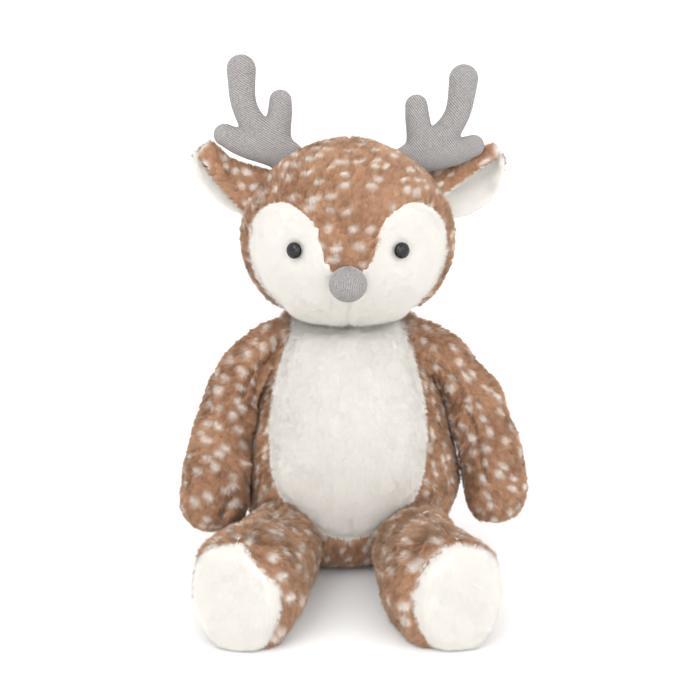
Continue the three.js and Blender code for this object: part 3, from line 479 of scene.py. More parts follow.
def neck_pivot(s):
    """The point on which the head turns and nods."""
    return np.array([0, -s.head_forward, s.torso_height - s.head_sink])


def head_station(s):
    """Rings of an egg: reach by the sine of the polar angle, a little fuller below."""

    def station(place):
        polar = math.pi * place
        swell = np.sin(polar) * (1 + HEAD_TAPER * np.cos(polar))
        middle = head_middle(s) - np.outer(s.head_height / 2 * np.cos(polar), Z)
        return (
            middle,
            np.outer(s.head_half_width * swell, X),
            np.outer(-s.head_front * swell, Y),
            np.outer(s.head_back * swell, Y),
        )

    return station


def muzzle(s, p):
    """Points of the face swell forward round a place below the head's middle, by a bell curve."""
    middle = head_middle(s)
    x = p[..., 0] / s.muzzle_spread
    z = (p[..., 2] - middle[2] + s.muzzle_below) / s.muzzle_spread
    front = np.maximum(0, (middle[1] - p[..., 1]) / s.head_front)
    out = p.copy()
    out[..., 1] -= s.muzzle_reach * front * np.exp(-x * x - z * z)
    return out


def head_point(s, x, z, facing):
    """Points of the head's surface at places of the X-Z plane, on the front (-1) or the back (1)."""
    middle = head_middle(s)
    cos = np.clip((middle[2] - z) / (s.head_height / 2), -1, 1)
    swell = np.sqrt(1 - cos * cos) * (1 + HEAD_TAPER * cos)
    depth = (s.head_front if facing < 0 else s.head_back) * swell
    reach = np.sqrt(np.maximum(0, 1 - (x / np.maximum(s.head_half_width * swell, 1e-9)) ** 2))
    p = np.stack([x, middle[1] + facing * depth * reach, z + 0 * x], axis=-1)
    return muzzle(s, p) if facing < 0 else p


def spot_on_head(s, x, z, facing):
    """One point of the head's surface at a place of the X-Z plane."""
    return head_point(s, np.array([x]), np.array([z]), facing)[0]


def in_head(s, p, margin=0.0):
    """Whether points lie in the egg of the head, grown by a margin."""
    middle = head_middle(s)
    half = s.head_height / 2 + margin
    cos = (middle[2] - p[..., 2]) / half
    swell = np.sqrt(np.maximum(1 - cos * cos, 0)) * (1 + HEAD_TAPER * cos)
    wide = s.head_half_width * swell + margin
    deep = np.where(p[..., 1] < middle[1], s.head_front, s.head_back) * swell + margin
    level = (p[..., 0] / np.maximum(wide, 1e-9)) ** 2
    level = level + ((p[..., 1] - middle[1]) / np.maximum(deep, 1e-9)) ** 2
    return (np.abs(cos) < 1) & (level < 1)


def torso_reach(s):
    """Heights of the torso's rings and their reach to the side, ahead and behind, for reading
    between."""
    middle, side, ahead, behind = torso_station(s)(np.linspace(0.1, 1, 400))
    return middle[:, 2], side[:, 0], -ahead[:, 1], behind[:, 1]


def torso_side(s, y, z):
    """The torso's half width at places of the Y-Z plane, 0 off the torso."""
    height, side, ahead, behind = torso_reach(s)
    a = np.interp(z, height, side)
    b = np.where(y < 0, np.interp(z, height, ahead), np.interp(z, height, behind))
    return a * np.sqrt(np.maximum(0, 1 - (y / np.maximum(b, 1e-6)) ** 2)) * (z < s.torso_height)


def in_torso(s, p, margin=0.0):
    """Whether points lie in the torso, grown by a margin."""
    z, side, ahead, behind = torso_reach(s)
    a = np.interp(p[..., 2], z, side) + margin
    b = np.where(p[..., 1] < 0, np.interp(p[..., 2], z, ahead), np.interp(p[..., 2], z, behind)) + margin
    level = (p[..., 0] / a) ** 2 + (p[..., 1] / b) ** 2
    return (level < 1) & (p[..., 2] < s.torso_height + margin)


def arm_frame(s, sign):
    """The shoulder's middle, the arm's reach and drop, and its ways down and ahead."""
    pivot = np.array([sign * s.shoulder_out, 0, s.shoulder_up])
    reach, drop, swing = sided(s, sign, "arm_reach", "arm_drop", "arm_swing")
    down = turned(-Z[None], np.zeros(3), X, -swing)[0]
    front = turned(-Y[None], np.zeros(3), X, -swing)[0]
    return pivot, reach, drop, down, front


def arm_station(s, sign):
    """Rings along a route that leaves the shoulder to the side and drops to the hand, each across
    the route."""
    pivot, reach, drop, down, front = arm_frame(s, sign)
    fine = np.linspace(0, 1, 2001)
    out, low = row_at(ARM_ROUTE, fine).T
    route = pivot + np.outer(sign * out * reach, X) + np.outer(low * drop, down)
    gone = np.concatenate([[0], np.cumsum(np.linalg.norm(np.diff(route, axis=0), axis=1))])
    gone /= gone[-1]

    def station(place):
        width, depth = row_at(ARM, place).T
        where = (1 - np.cos(math.pi * place)) / 2
        at = lambda w: np.stack([np.interp(w, gone, route[:, k]) for k in range(3)], axis=1)
        middle = at(where)
        tangent = unit(at(np.minimum(where + 0.01, 1)) - at(np.maximum(where - 0.01, 0)))
        side = unit(np.cross(front, tangent))
        return (
            middle,
            side * (s.arm_half_width * width)[:, None],
            np.outer(s.arm_half_depth * depth, front),
            np.outer(-s.arm_half_depth * depth, front),
        )

    return station


def leg_frame(s, sign):
    """The hip's middle, the way ahead along the leg and the way out across it."""
    pivot = np.array([sign * s.hip_out, -s.hip_forward, s.hip_up])
    ahead = turned(-Y[None], np.zeros(3), Z, sign * s.leg_splay)[0]
    out = turned(sign * X[None], np.zeros(3), Z, sign * s.leg_splay)[0]
    return pivot, ahead, out


def leg_station(s, sign):
    """Rings square to the leg from the hip to the sole, fuller below than above."""
    pivot, ahead, out = leg_frame(s, sign)
    rise = s.foot_height / 2 - FLOOR_PRESS - s.hip_up
    bulge = sided(s, sign, "leg_bulge")

    def station(place):
        far, width, height, inwards = row_at(LEG, place).T
        middle = pivot + np.outer(s.leg_length * far - s.hip_radius, ahead)
        middle = middle + np.outer(rise * far, Z) - np.outer(bulge * inwards, out)
        return (
            middle,
            np.outer(s.leg_half_width * width, out),
            np.outer(s.foot_height / 2 * height, Z),
            np.outer(-(s.foot_height / 2 + s.leg_sag) * height, Z),
        )

    return station


def tail_station(s):
    """Rings of a flat drop that points up and back."""
    up, back = math.sin(s.tail_lift), math.cos(s.tail_lift)
    z, _, _, behind = torso_reach(s)
    root = np.array([0, np.interp(s.tail_up, z, behind), s.tail_up])
    way, over = np.array([0, back, up]), np.array([0, -up, back])

    def station(place):
        width, depth = row_at(TAIL, place).T
        middle = root + np.outer(place * (s.tail_length + s.tail_half_depth) - s.tail_half_depth, way)
        return (
            middle,
            np.outer(s.tail_half_width * width, X),
            np.outer(-s.tail_half_depth * depth, over),
            np.outer(s.tail_half_depth * depth, over),
        )

    return station


# Meshes from arrays


def mesh_object(name, points, faces, fields=None, corners=None, lean=None):
    """An object at the origin from an array of points and an array of faces of equal length, with
    named numbers for each point and the way it is shaded from."""
    data = bpy.data.meshes.new(name)
    count, size = faces.shape
    data.vertices.add(len(points))
    data.vertices.foreach_set("co", np.ascontiguousarray(points, np.float32).ravel())
    data.loops.add(count * size)
    data.loops.foreach_set("vertex_index", np.ascontiguousarray(faces, np.int32).ravel())
    data.polygons.add(count)
    data.polygons.foreach_set("loop_start", np.arange(0, count * size, size, dtype=np.int32))
    data.polygons.foreach_set("use_smooth", np.ones(count, bool))
    hold_fields(data, fields or {})
    if corners is not None:
        layer = data.uv_layers.new(name="OFBake")
        layer.data.foreach_set("uv", np.ascontiguousarray(corners[faces.ravel()], np.float32).ravel())
    data.update(calc_edges=True)
    data.validate()
    if lean is not None:
        hold_lean(data, lean)
        data.normals_split_custom_set_from_vertices(np.ascontiguousarray(lean, np.float32))
    made = bpy.data.objects.new(name, data)
    bpy.context.scene.collection.objects.link(made)
    return made


def hold_fields(data, fields):
    """Keeps named numbers, one for each point of a mesh."""
    for key, values in fields.items():
        layer = data.attributes.new(key, "FLOAT", "POINT")
        layer.data.foreach_set("value", np.ascontiguousarray(values, np.float32).ravel())


def hold_lean(data, lean):
    """Keeps the way that each point is shaded from."""
    layer = data.attributes.new("lean", "FLOAT_VECTOR", "POINT")
    layer.data.foreach_set("vector", np.ascontiguousarray(lean, np.float32).ravel())


def toward_front(normals, facing):
    """The turn of the shading for each normal: whole for one that faces the front, none for one
    that faces further back than a limit."""
    way, limit = facing
    return way * ramp(limit, limit - 0.5, normals[:, 1])[:, None]


def whole_faces(rows, sides):
    """Faces of a grid of rows and sides that closes round, as four corner numbers."""
    i, j = np.meshgrid(np.arange(rows - 1), np.arange(sides), indexing="ij")
    k = (j + 1) % sides
    here, after = i * sides, (i + 1) * sides
    return np.stack([here + j, here + k, after + k, after + j], axis=-1).reshape(-1, 4)


def panel(name, surface, chosen, fields, thickness):
    """The chosen faces of a form as a piece of cloth of its own, its faces outward and its wall
    inward."""
    rows, sides = surface.points.shape[:2]
    faces = whole_faces(rows, sides)[chosen.reshape(-1)]
    p, n = surface.points.reshape(-1, 3), surface.normals.reshape(-1, 3)
    first = np.cross(p[faces[:, 2]] - p[faces[:, 0]], p[faces[:, 3]] - p[faces[:, 1]])
    if np.sum(first * n[faces[:, 0]]) < 0:
        faces = faces[:, ::-1]
    used, at = np.unique(faces, return_inverse=True)
    fields = {key: value.reshape(-1)[used] for key, value in fields.items()}
    made = mesh_object(
        name,
        p[used],
        at.reshape(faces.shape),
        fields,
        in_table(fields["tone"], fields["light"]),
        n[used],
    )
    if thickness:
        wall = made.modifiers.new("wall", "SOLIDIFY")
        wall.thickness, wall.offset, wall.use_even_offset = thickness, -1, False
    return made


def in_table(tone, light):
    """Places in a table of colours with a margin all round: across by tone and up by light."""
    return np.stack([0.1 + 0.8 * tone, 0.1 + 0.8 * light], axis=-1)


def closed_form(name, surface, fields=None, facing=(0 * X, 0)):
    """A whole form as one closed piece, its two end rows drawn together to poles. facing turns its
    shading towards one way."""
    rows, sides = surface.points.shape[:2]

    def joined(grid):
        """The first row's mean, every row between and the last row's mean."""
        poles = grid[:1].mean(axis=1), grid[-1:].mean(axis=1)
        return np.concatenate([poles[0], grid[1:-1].reshape(-1, 3), poles[1]])

    points, lean = joined(surface.points), unit(joined(surface.normals))
    faces = whole_faces(rows - 2, sides) + 1
    j = np.arange(sides)
    k = (j + 1) % sides
    last = len(points) - 1
    first_cap = np.stack([np.zeros_like(j), 1 + k, 1 + j], axis=-1)
    last_cap = np.stack([np.full_like(j, last), last - sides + j, last - sides + k], axis=-1)
    way = np.cross(points[faces[:, 2]] - points[faces[:, 0]], points[faces[:, 3]] - points[faces[:, 1]])
    flip = -1 if np.sum(way * lean[faces[:, 0]]) < 0 else 1
    corners = [f[::flip] for f in faces.tolist() + first_cap.tolist() + last_cap.tolist()]
    data = bpy.data.meshes.new(name)
    data.from_pydata(points.tolist(), [], corners)
    data.polygons.foreach_set("use_smooth", np.ones(len(data.polygons), bool))
    hold_lean(data, unit(lean + toward_front(lean, facing)))
    for key, value in (fields or {}).items():
        hold_fields(data, {key: np.concatenate([value[:1, 0], value[1:-1].ravel(), value[-1:, 0]])})
    data.update()
    made = bpy.data.objects.new(name, data)
    bpy.context.scene.collection.objects.link(made)
    return made


# Pile


def scattered(surface, count, seed, weight=None):
    """Roots spread evenly over a form's area: a face is drawn by its area, and a place on it by two
    even numbers. Gives their points, normals, fields and places on the grid."""
    rng = np.random.default_rng(seed)
    p, n = surface.points, surface.normals
    rows, sides = p.shape[:2]
    flat = whole_faces(rows, sides)
    q, m = p.reshape(-1, 3), n.reshape(-1, 3)
    area = np.linalg.norm(np.cross(q[flat[:, 2]] - q[flat[:, 0]], q[flat[:, 3]] - q[flat[:, 1]]), axis=1) / 2
    if weight is not None:
        area = area * weight.reshape(-1)[flat].mean(axis=1)
    drawn = np.searchsorted(np.cumsum(area), rng.uniform(0, area.sum(), count))
    drawn = np.minimum(drawn, len(flat) - 1)
    picked = flat[drawn]
    a, b = rng.uniform(size=(2, count, 1))
    mix = [(1 - a) * (1 - b), (1 - a) * b, a * b, a * (1 - b)]
    blend = lambda values: sum(w * values[picked[:, k]] for k, w in enumerate(mix))
    fields = {key: blend(value.reshape(-1)[:, None])[:, 0] for key, value in surface.fields.items()}
    grid = {
        "row": drawn // sides + a[:, 0],
        "side": drawn % sides + b[:, 0],
        "along": unit(q[picked[:, 3]] - q[picked[:, 0]]),
        "around": unit(q[picked[:, 1]] - q[picked[:, 0]]),
    }
    return blend(q), unit(blend(m)), fields, grid


# Smooth turns and lifts of the pile's lie: how far one runs over the cloth
SWIRL_SIZE = 0.028
CURL_SIZE = 0.010
LIFT_SIZE = 0.014
# How deep a lock's root sits in the cloth, and how far along a lock its tip's colour is read
ROOT_SINK = 0.0005
TIP_SHARE = 0.8
# Painted shade and painted light: how much darker a lock's root is than its own light, and how much lighter
# its tip
ROOT_SHADE = 0.32
TIP_SHINE = 0.24
# Half the width of a lock's root in the table of colours
ROOT_BREADTH = 0.003


def clump_centres(points, pitch, seed):
    """The nearest of the centres that lie one to a cell of a jittered grid, and four random numbers
    of its own."""
    cell = np.floor(points / pitch)
    best = np.full(len(points), np.inf)
    centre, own = np.zeros_like(points), np.zeros((len(points), 4))
    for step in NEIGHBOURS:
        r = scramble(cell + step, seed)
        c = (cell + step + 0.5 + 0.85 * (r[:, :3] - 0.5)) * pitch
        d = np.sum((points - c) ** 2, axis=1)
        near = d < best
        best[near], centre[near], own[near] = d[near], c[near], r[near]
    return centre, own


def spots_on(surface, row, side, ahead, around, pile, slant, seed, scale=1.0):
    """Fawn spots from 0 to 1 on a form: soft long blobs in rows across its length, as many to a row
    as fit its girth, each moved, turned and sized by numbers of its own. ahead and around shift the
    place that is asked for, and scale makes the spots larger and wider apart."""
    p = surface.points
    rows, sides = p.shape[:2]
    lengths = np.concatenate([[0], np.cumsum(np.linalg.norm(np.diff(p, axis=0), axis=2).mean(axis=1))])
    girths = np.linalg.norm(np.roll(p, -1, axis=1) - p, axis=2).sum(axis=1)
    place = np.interp(row, np.arange(rows), lengths) + ahead
    line = np.floor(place / (scale * pile.spot_row))
    best = np.zeros(place.shape)
    for step in (-1, 0, 1):
        mine = line + step
        middle = (mine + 0.5) * scale * pile.spot_row
        girth = np.maximum(np.interp(middle, lengths, girths), 1e-4)
        many = np.maximum(np.round(girth / (scale * pile.spot_pitch)), 1)
        where = (side / sides + around / girth) * many + 0.5 * (mine % 2)
        for move in (-1, 0, 1):
            cell = np.floor(where) + move
            own = np.stack([mine + 64, cell % many, many], axis=-1)
            r = scramble(own, seed)
            across = (where - cell - 0.5 - 0.75 * (r[..., 0] - 0.5)) * girth / many
            down = place - middle - 0.65 * (r[..., 1] - 0.5) * scale * pile.spot_row
            lean = slant + 0.9 * (r[..., 2] - 0.5)
            long = across * np.cos(lean) + down * np.sin(lean)
            short = down * np.cos(lean) - across * np.sin(lean)
            more = scramble(own, seed + 1)
            wide = scale * pile.spot_width * (0.7 + 0.5 * more[..., 0])
            tall = scale * pile.spot_length * (0.65 + 0.6 * r[..., 3])
            gone = np.sqrt((long / tall) ** 2 + (short / wide) ** 2)
            bright = np.where(more[..., 1] < 0.1, 0, 0.68 + 0.32 * more[..., 2])
            best = np.maximum(best, bright * (1 - ramp(0.5, 1.25, gone)))
    return best


def grow_pile(name, roots, normals, nap, reach, pile, tone_of, light, seed, look, facing=(0 * X, 0)):
    """Locks of pile as single long triangles. Each leans along the nap by a lift from the cloth,
    swings a little by smooth and random turns, and its tip is drawn towards the tip of its clump.
    tone_of gives the spots at a shift from the roots, and facing turns the shading towards one
    way."""
    rng = np.random.default_rng(seed)
    count = len(roots)
    lift, turn, gather, uneven = look
    nap = unit(nap - dot(nap, normals) * normals)
    swirl = turn * waves(roots, SWIRL_SIZE, seed) + 0.55 * turn * waves(roots, CURL_SIZE, seed + 1)
    swirl = swirl + rng.normal(0, 0.3, count)
    side = np.cross(normals, nap)
    nap = np.cos(swirl)[:, None] * nap + np.sin(swirl)[:, None] * side
    rise = np.radians(lift) + 0.22 * uneven * waves(roots, LIFT_SIZE, seed + 2) + rng.normal(0, 0.18, count)
    lie = np.cos(rise)[:, None] * nap + np.sin(rise)[:, None] * normals
    reach = reach * rng.uniform(0.75, 1.15, count)
    centre, own = clump_centres(roots, pile.clump, seed + 3)
    to_centre = centre - roots
    to_centre = to_centre - dot(to_centre, normals) * normals
    mean = math.cos(math.radians(lift)) * nap + math.sin(math.radians(lift)) * normals
    mean = mean + 0.5 * uneven * (own[:, :3] - 0.5)
    drawn = to_centre + mean * reach[:, None] * (0.9 + 0.3 * own[:, 3:])
    lock = (1 - gather) * lie * reach[:, None] + gather * drawn
    way = unit(lock)
    broad = unit(np.cross(way, normals))
    spin = rng.uniform(-0.9, 0.9, count)[:, None]
    broad = np.cos(spin) * broad + np.sin(spin) * np.cross(way, broad)
    half = broad * (pile.strand_width / 2)
    sunk = roots - ROOT_SINK * normals
    points = np.stack([sunk - half, sunk + half, roots + lock], axis=1)
    outward = np.cross(points[:, 1] - points[:, 0], points[:, 2] - points[:, 0])
    turned_in = np.sum(outward * normals, axis=1) < 0
    points[turned_in] = points[turned_in][:, [1, 0, 2]]
    points[..., 2] = np.maximum(points[..., 2], FLOOR_CLEAR)
    shade = uneven * (own[:, 0] - 0.5) * 0.5 + uneven * rng.normal(0, 0.15, count)
    # Painted shade darkens each lock's root, and painted light brightens its tip
    bottom, top = np.clip(light - ROOT_SHADE + shade, 0, 1), np.clip(light + TIP_SHINE + shade, 0, 1)
    lights = np.stack([bottom, bottom, top], axis=1)
    low, high = tone_of(0 * lock), tone_of(TIP_SHARE * lock)
    tones = np.stack([low, low, high], axis=1)
    place = in_table(tones, lights)
    place[:, 0, 0] -= ROOT_BREADTH
    place[:, 1, 0] += ROOT_BREADTH
    tousled = 0.9 * uneven * (own[:, :3] - 0.5)
    lean = unit(normals + toward_front(normals, facing) + tousled + 0.25 * uneven * way)
    lean = np.repeat(lean[:, None], 3, axis=1)
    return mesh_object(
        name,
        points.reshape(-1, 3),
        np.arange(3 * count).reshape(-1, 3),
        {"tone": tones, "light": lights},
        place.reshape(-1, 2),
        lean.reshape(-1, 3),
    )


# Materials


def node_material(name):
    """An empty node material and its Principled shader."""
    made = bpy.data.materials.new(name)
    made.use_nodes = True
    tree = made.node_tree
    tree.nodes.clear()
    out = tree.nodes.new("ShaderNodeOutputMaterial")
    shader = tree.nodes.new("ShaderNodeBsdfPrincipled")
    tree.links.new(shader.outputs[0], out.inputs["Surface"])
    return made, tree, shader


def finished(shader, rough, specular, sheen=0.0):
    """Sets how rough, how shiny and how downy a shader is."""
    shader.inputs["Roughness"].default_value = rough
    shader.inputs["Specular IOR Level"].default_value = specular
    shader.inputs["Sheen Weight"].default_value = sheen


def attribute(tree, name):
    """A node that reads a piece's own numbers."""
    node = tree.nodes.new("ShaderNodeAttribute")
    node.attribute_name = name
    return node.outputs["Fac"]


def darker(colour, share=0.8):
    """A colour at a share of its light."""
    return tuple(share * v for v in colour)


def mixed(tree, factor, a, b, how="MIX"):
    """A colour mixed from two, each a colour or a socket."""
    node = tree.nodes.new("ShaderNodeMix")
    node.data_type, node.blend_type = "RGBA", how
    for socket, value in zip((node.inputs[0], node.inputs[6], node.inputs[7]), (factor, a, b)):
        if hasattr(value, "is_linked"):
            tree.links.new(value, socket)
        elif isinstance(value, (int, float)):
            socket.default_value = value
        else:
            socket.default_value = (*value, 1)
    return node.outputs[2]


def pile_material(name, tip, root, spot, sheen, sheen_tint, rough):
    """Pile that runs from its root's colour to its tip's by its light, which holds painted shade and painted
    light, and to the spot's colour by tone.
    """
    made, tree, shader = node_material(name)
    light = attribute(tree, "light")
    colour = mixed(tree, light, root, tip)
    if spot is not None:
        pale = mixed(tree, light, darker(spot), spot)
        colour = mixed(tree, attribute(tree, "tone"), colour, pale)
    tree.links.new(colour, shader.inputs["Base Color"])
    lean = tree.nodes.new("ShaderNodeAttribute")
    lean.attribute_name = "lean"
    out = tree.nodes.new("ShaderNodeVectorTransform")
    out.vector_type, out.convert_from, out.convert_to = "NORMAL", "OBJECT", "WORLD"
    tree.links.new(lean.outputs["Vector"], out.inputs[0])
    tree.links.new(out.outputs[0], shader.inputs["Normal"])
    finished(shader, rough, 0.15, sheen)
    shader.inputs["Sheen Roughness"].default_value = 0.5
    shader.inputs["Sheen Tint"].default_value = (*sheen_tint, 1)
    return made


def object_noise(tree, scale, detail, across=None):
    """Noise on the piece's own metres, stretched by a scale for each axis if given."""
    place = tree.nodes.new("ShaderNodeTexCoord")
    mapping = tree.nodes.new("ShaderNodeMapping")
    mapping.inputs["Scale"].default_value = across or (1, 1, 1)
    noise = tree.nodes.new("ShaderNodeTexNoise")
    noise.inputs["Scale"].default_value = scale
    noise.inputs["Detail"].default_value = detail
    tree.links.new(place.outputs["Object"], mapping.inputs["Vector"])
    tree.links.new(mapping.outputs[0], noise.inputs["Vector"])
    return noise.outputs["Fac"]


def bumped(tree, shader, height, distance, strength=1.0):
    """Fine relief from a socket of heights."""
    bump = tree.nodes.new("ShaderNodeBump")
    bump.inputs["Distance"].default_value = distance
    bump.inputs["Strength"].default_value = strength
    tree.links.new(height, bump.inputs["Height"])
    tree.links.new(bump.outputs[0], shader.inputs["Normal"])


def knit_material(name, c):
    """Grey heather knit: painted light on the ribs' crests and painted shade in their hollows, by the piece's
    own rib numbers, mottled by fine noise.
    """
    made, tree, shader = node_material(name)
    rib = attribute(tree, "light")
    heather = object_noise(tree, 900, 3)
    mottle = tree.nodes.new("ShaderNodeMapRange")
    mottle.inputs["From Min"].default_value, mottle.inputs["From Max"].default_value = 0.3, 0.7
    tree.links.new(heather, mottle.inputs["Value"])
    # Painted light and shade of the ribs, from the dark colour on their hollows to the light on their crests
    knit_shading = mixed(tree, rib, c.knit_dark, c.knit_light)
    colour = mixed(tree, mottle.outputs[0], mixed(tree, 1.0, knit_shading, (0.62, 0.62, 0.62), "MULTIPLY"), knit_shading)
    tree.links.new(colour, shader.inputs["Base Color"])
    finished(shader, 0.85, 0.2, 0.15)
    bumped(tree, shader, heather, 0.0002, 0.6)
    return made


def filling_material(name, colour, scale):
    """Matted fibre or woven cotton: fine noise in colour and relief."""
    made, tree, shader = node_material(name)
    fibre = object_noise(tree, scale, 6)
    tree.links.new(mixed(tree, fibre, darker(colour), colour), shader.inputs["Base Color"])
    finished(shader, 0.95, 0.5)
    bumped(tree, shader, fibre, 0.0006)
    return made


def plastic_material(name, colour, rough, specular):
    """Moulded plastic with a faint ripple."""
    made, tree, shader = node_material(name)
    ripple = object_noise(tree, 220, 2)
    tree.links.new(mixed(tree, ripple, darker(colour), colour), shader.inputs["Base Color"])
    finished(shader, rough, specular)
    bumped(tree, shader, ripple, 0.00005, 0.3)
    return made


def material(name):
    """One of the deer's materials, made the first time it is asked for."""
    found = bpy.data.materials.get(name)
    if found:
        return found
    c = bpy.context.scene.deer_colours
    brown, root, spot = tuple(c.brown), tuple(c.brown_root), tuple(c.spot)
    cream, cream_root = tuple(c.cream), tuple(c.cream_root)
    makers = {
        "brown_pile": lambda: pile_material(name, brown, root, spot, 0.25, (1.0, 0.78, 0.6), 0.8),
        "cream_pile": lambda: pile_material(name, cream, cream_root, None, 0.3, (1.0, 0.97, 0.92), 0.85),
        "knit_cover": lambda: knit_material(name, c),
        "wadding": lambda: filling_material(name, (0.9, 0.9, 0.88), 700),
        "pouch_cotton": lambda: filling_material(name, (0.72, 0.66, 0.55), 1400),
        "eye_gloss": lambda: plastic_material(name, tuple(c.eye), 0.05, 0.4),
        "washer_moulding": lambda: plastic_material(name, (0.8, 0.8, 0.78), 0.4, 0.5),
    }
    return makers[name]()


def dressed(obj, material_name, body, slot, *nodes):
    """Gives a piece its material and body, and hides the solids of the nodes that it stands for; slot is not
    used.
    """
    obj.data.materials.clear()
    obj.data.materials.append(material(material_name))
    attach(obj, body)
    if nodes:
        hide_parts(*nodes)


def groups():
    """The three property groups of the scene."""
    scene = bpy.context.scene
    return scene.deer_sizes, scene.deer_pile, scene.deer_colours


# Cloth and pile of one form, cut into named panels


def face_values(values):
    """The mean of a grid's numbers over each of its faces."""
    around = (values + np.roll(values, -1, axis=1)) / 2
    return (around[:-1] + around[1:]) / 2


# How each kind of pile lies: its lift in degrees, its turns, how far it gathers and how uneven it is
LOOKS = {"brown": (38, 0.5, 0.45, 1.0), "cream": (45, 0.3, 0.1, 0.2)}
# How light each kind's cloth and pile are, and how far the pile's light varies by patches and by flecks
LIGHTS = {"brown": (0.35, 0.5, 0.10, 0.10), "cream": (0.6, 0.62, 0.03, 0)}
# How much painted shade darkens a fold, on the cloth and in the pile
FOLD_SHADE = (0.3, 0.85)
# How much shorter the pile is where something presses on it
PRESSED = 0.65
CLOTH_THICKNESS = 0.0012
PATCHY_SIZE = 0.035
FLECK_SIZE = 0.006


def cover(body, surface, regions, nap, pile, seed, slant=0.0, scale=1.0):
    """The panels of a form. regions gives each panel's name, kind, node, a test on points and how
    many locks it has; each panel becomes cloth and a coat of pile."""
    cloth_form = thinned(surface)
    p, n = cloth_form.points, cloth_form.normals
    rows, sides = p.shape[:2]
    row, side = np.meshgrid(2.0 * np.arange(rows), 2.0 * np.arange(sides), indexing="ij")
    tone = spots_on(surface, row, side, 0, 0, pile, slant, seed, scale)
    middles = np.stack([face_values(p[..., k]) for k in range(3)], axis=-1)
    facing = unit(np.stack([face_values(n[..., k]) for k in range(3)], axis=-1))
    folded = cloth_form.fields.get("fold", 0 * tone)
    for name, kind, node, test, _ in regions:
        brown = kind == "brown"
        # Painted shade darkens the cloth in the folds
        fields = {"tone": tone if brown else 0 * tone, "light": LIGHTS[kind][0] - FOLD_SHADE[0] * folded}
        chosen = test(middles.reshape(-1, 3), facing.reshape(-1, 3)).reshape(middles.shape[:2])
        cloth = panel(f"{name}_cloth", cloth_form, chosen, fields, CLOTH_THICKNESS)
        dressed(cloth, f"{kind}_pile", body, f"{kind}_plush", node)
    roots, normals, fields, grid = scattered(surface, sum(region[-1] for region in regions), seed)
    for i, (name, kind, node, test, locks) in enumerate(regions):
        mine = test(roots, normals)
        drawn = np.random.default_rng(seed + 11 + i).uniform(size=len(mine))
        mine &= drawn < kept_share(locks, mine.sum())
        r, m, g = roots[mine], normals[mine], {key: value[mine] for key, value in grid.items()}

        def tone_of(shift):
            """The spots at a shift from the roots, none on cream."""
            if kind == "cream":
                return np.zeros(len(shift))
            ahead, around = dot(shift, g["along"])[:, 0], dot(shift, g["around"])[:, 0]
            return spots_on(surface, g["row"], g["side"], ahead, around, pile, slant, seed, scale)

        none = np.zeros(len(roots))
        fold = fields.get("fold", none)[mine]
        squeeze = 1 - PRESSED * np.clip(fields.get("press", none)[mine] + fold, 0, 1)
        reach = getattr(pile, f"{kind}_length") * squeeze
        reach = reach * (1 + fields.get("long", none)[mine])
        _, even, patchy, flecked = LIGHTS[kind]
        light = even + patchy * waves(r, PATCHY_SIZE, seed + 5)
        # Painted shade darkens the pile in the folds
        light = light + flecked * waves(r, FLECK_SIZE, seed + 6) - FOLD_SHADE[1] * fold
        lie = (r, m, nap(r, m), reach)
        coat = grow_pile(f"{name}_pile", *lie, pile, tone_of, light, seed + 20 + i, LOOKS[kind])
        dressed(coat, f"{kind}_pile", body, f"{kind}_plush")


def kept_share(wanted, have):
    """The share of the roots to keep so that a panel has no more than it asks for."""
    return 1.0 if have == 0 else min(1.0, wanted / have)


LUMP_HEIGHT = 0.0005
LUMP_SIZE = 0.016


def filled(name, surface, body, node, slot="stuffing", finish="wadding"):
    """A stuffed core that fills the cloth, lumpy as packed fibre is."""
    flat = surface.points.reshape(-1, 3)
    lumps = LUMP_HEIGHT * waves(flat, LUMP_SIZE, 40).reshape(surface.points.shape[:2])
    core = closed_form(name, surface.moved(lumps - LUMP_HEIGHT))
    dressed(core, finish, body, slot, node)


# The torso

TORSO_GRID, TORSO_CORE_GRID = (190, 230), (60, 72)
# Sunk lines: depth and width
BELLY_SEAM = (0.0016, 0.0035)
BACK_SEAM = (0.0012, 0.003)
BELLY_DART = (0.0012, 0.0022)
DART_OUT = 0.0015
# Heights between which the dart fades in at its foot and out at its top
DART_FOOT = (0.026, 0.030)
DART_TOP = (0.046, 0.040)
# Heights between which the torso's swell towards its left arm fades in and out
SWELL_FOOT = (0.020, 0.050)
SWELL_TOP = (0.135, 0.100)
# How far the seat's lowest cloth stays off the floor
SEAT_CLEAR = 0.0004
NECK_WAD_RADIUS = 0.0165
BAG_HALF_WIDTH = 0.0395
BAG_HALF_DEPTH = 0.0335
BAG_HALF_HEIGHT = 0.0115
BAG_UP = 0.020
BAG_FROM_BACK = 0.040
# How near the head's egg the torso's pile grows longer, and how much longer
NECK_NEAR = 0.009
TORSO_LONGER = 0.9
HEAD_TURNS = (-30, -15, 0, 15, 30)
HEAD_NODS = (-4, 3, 10)


def belly_outline(s):
    """The belly panel's outline in the X-Z plane, both halves of the table joined by a smooth curve."""
    half = np.array(BELLY)
    right = half * [s.belly_half_width, s.belly_top - s.belly_bottom] + [0, s.belly_bottom]
    both = np.concatenate([right[:0:-1] * [-1, 1], right])
    return row_at(both, np.linspace(0, 1, 90))


def head_nodded(s, p, margin):
    """Whether points lie where the head comes as it turns and nods to its limits, or rests."""
    pivot = neck_pivot(s)
    hit = np.zeros(p.shape[:-1], bool)
    for turn in HEAD_TURNS:
        for nod in HEAD_NODS:
            v = turned(turned(p, pivot, Z, math.radians(turn)), pivot, X, math.radians(nod))
            hit |= in_head(s, v, margin)
    return hit


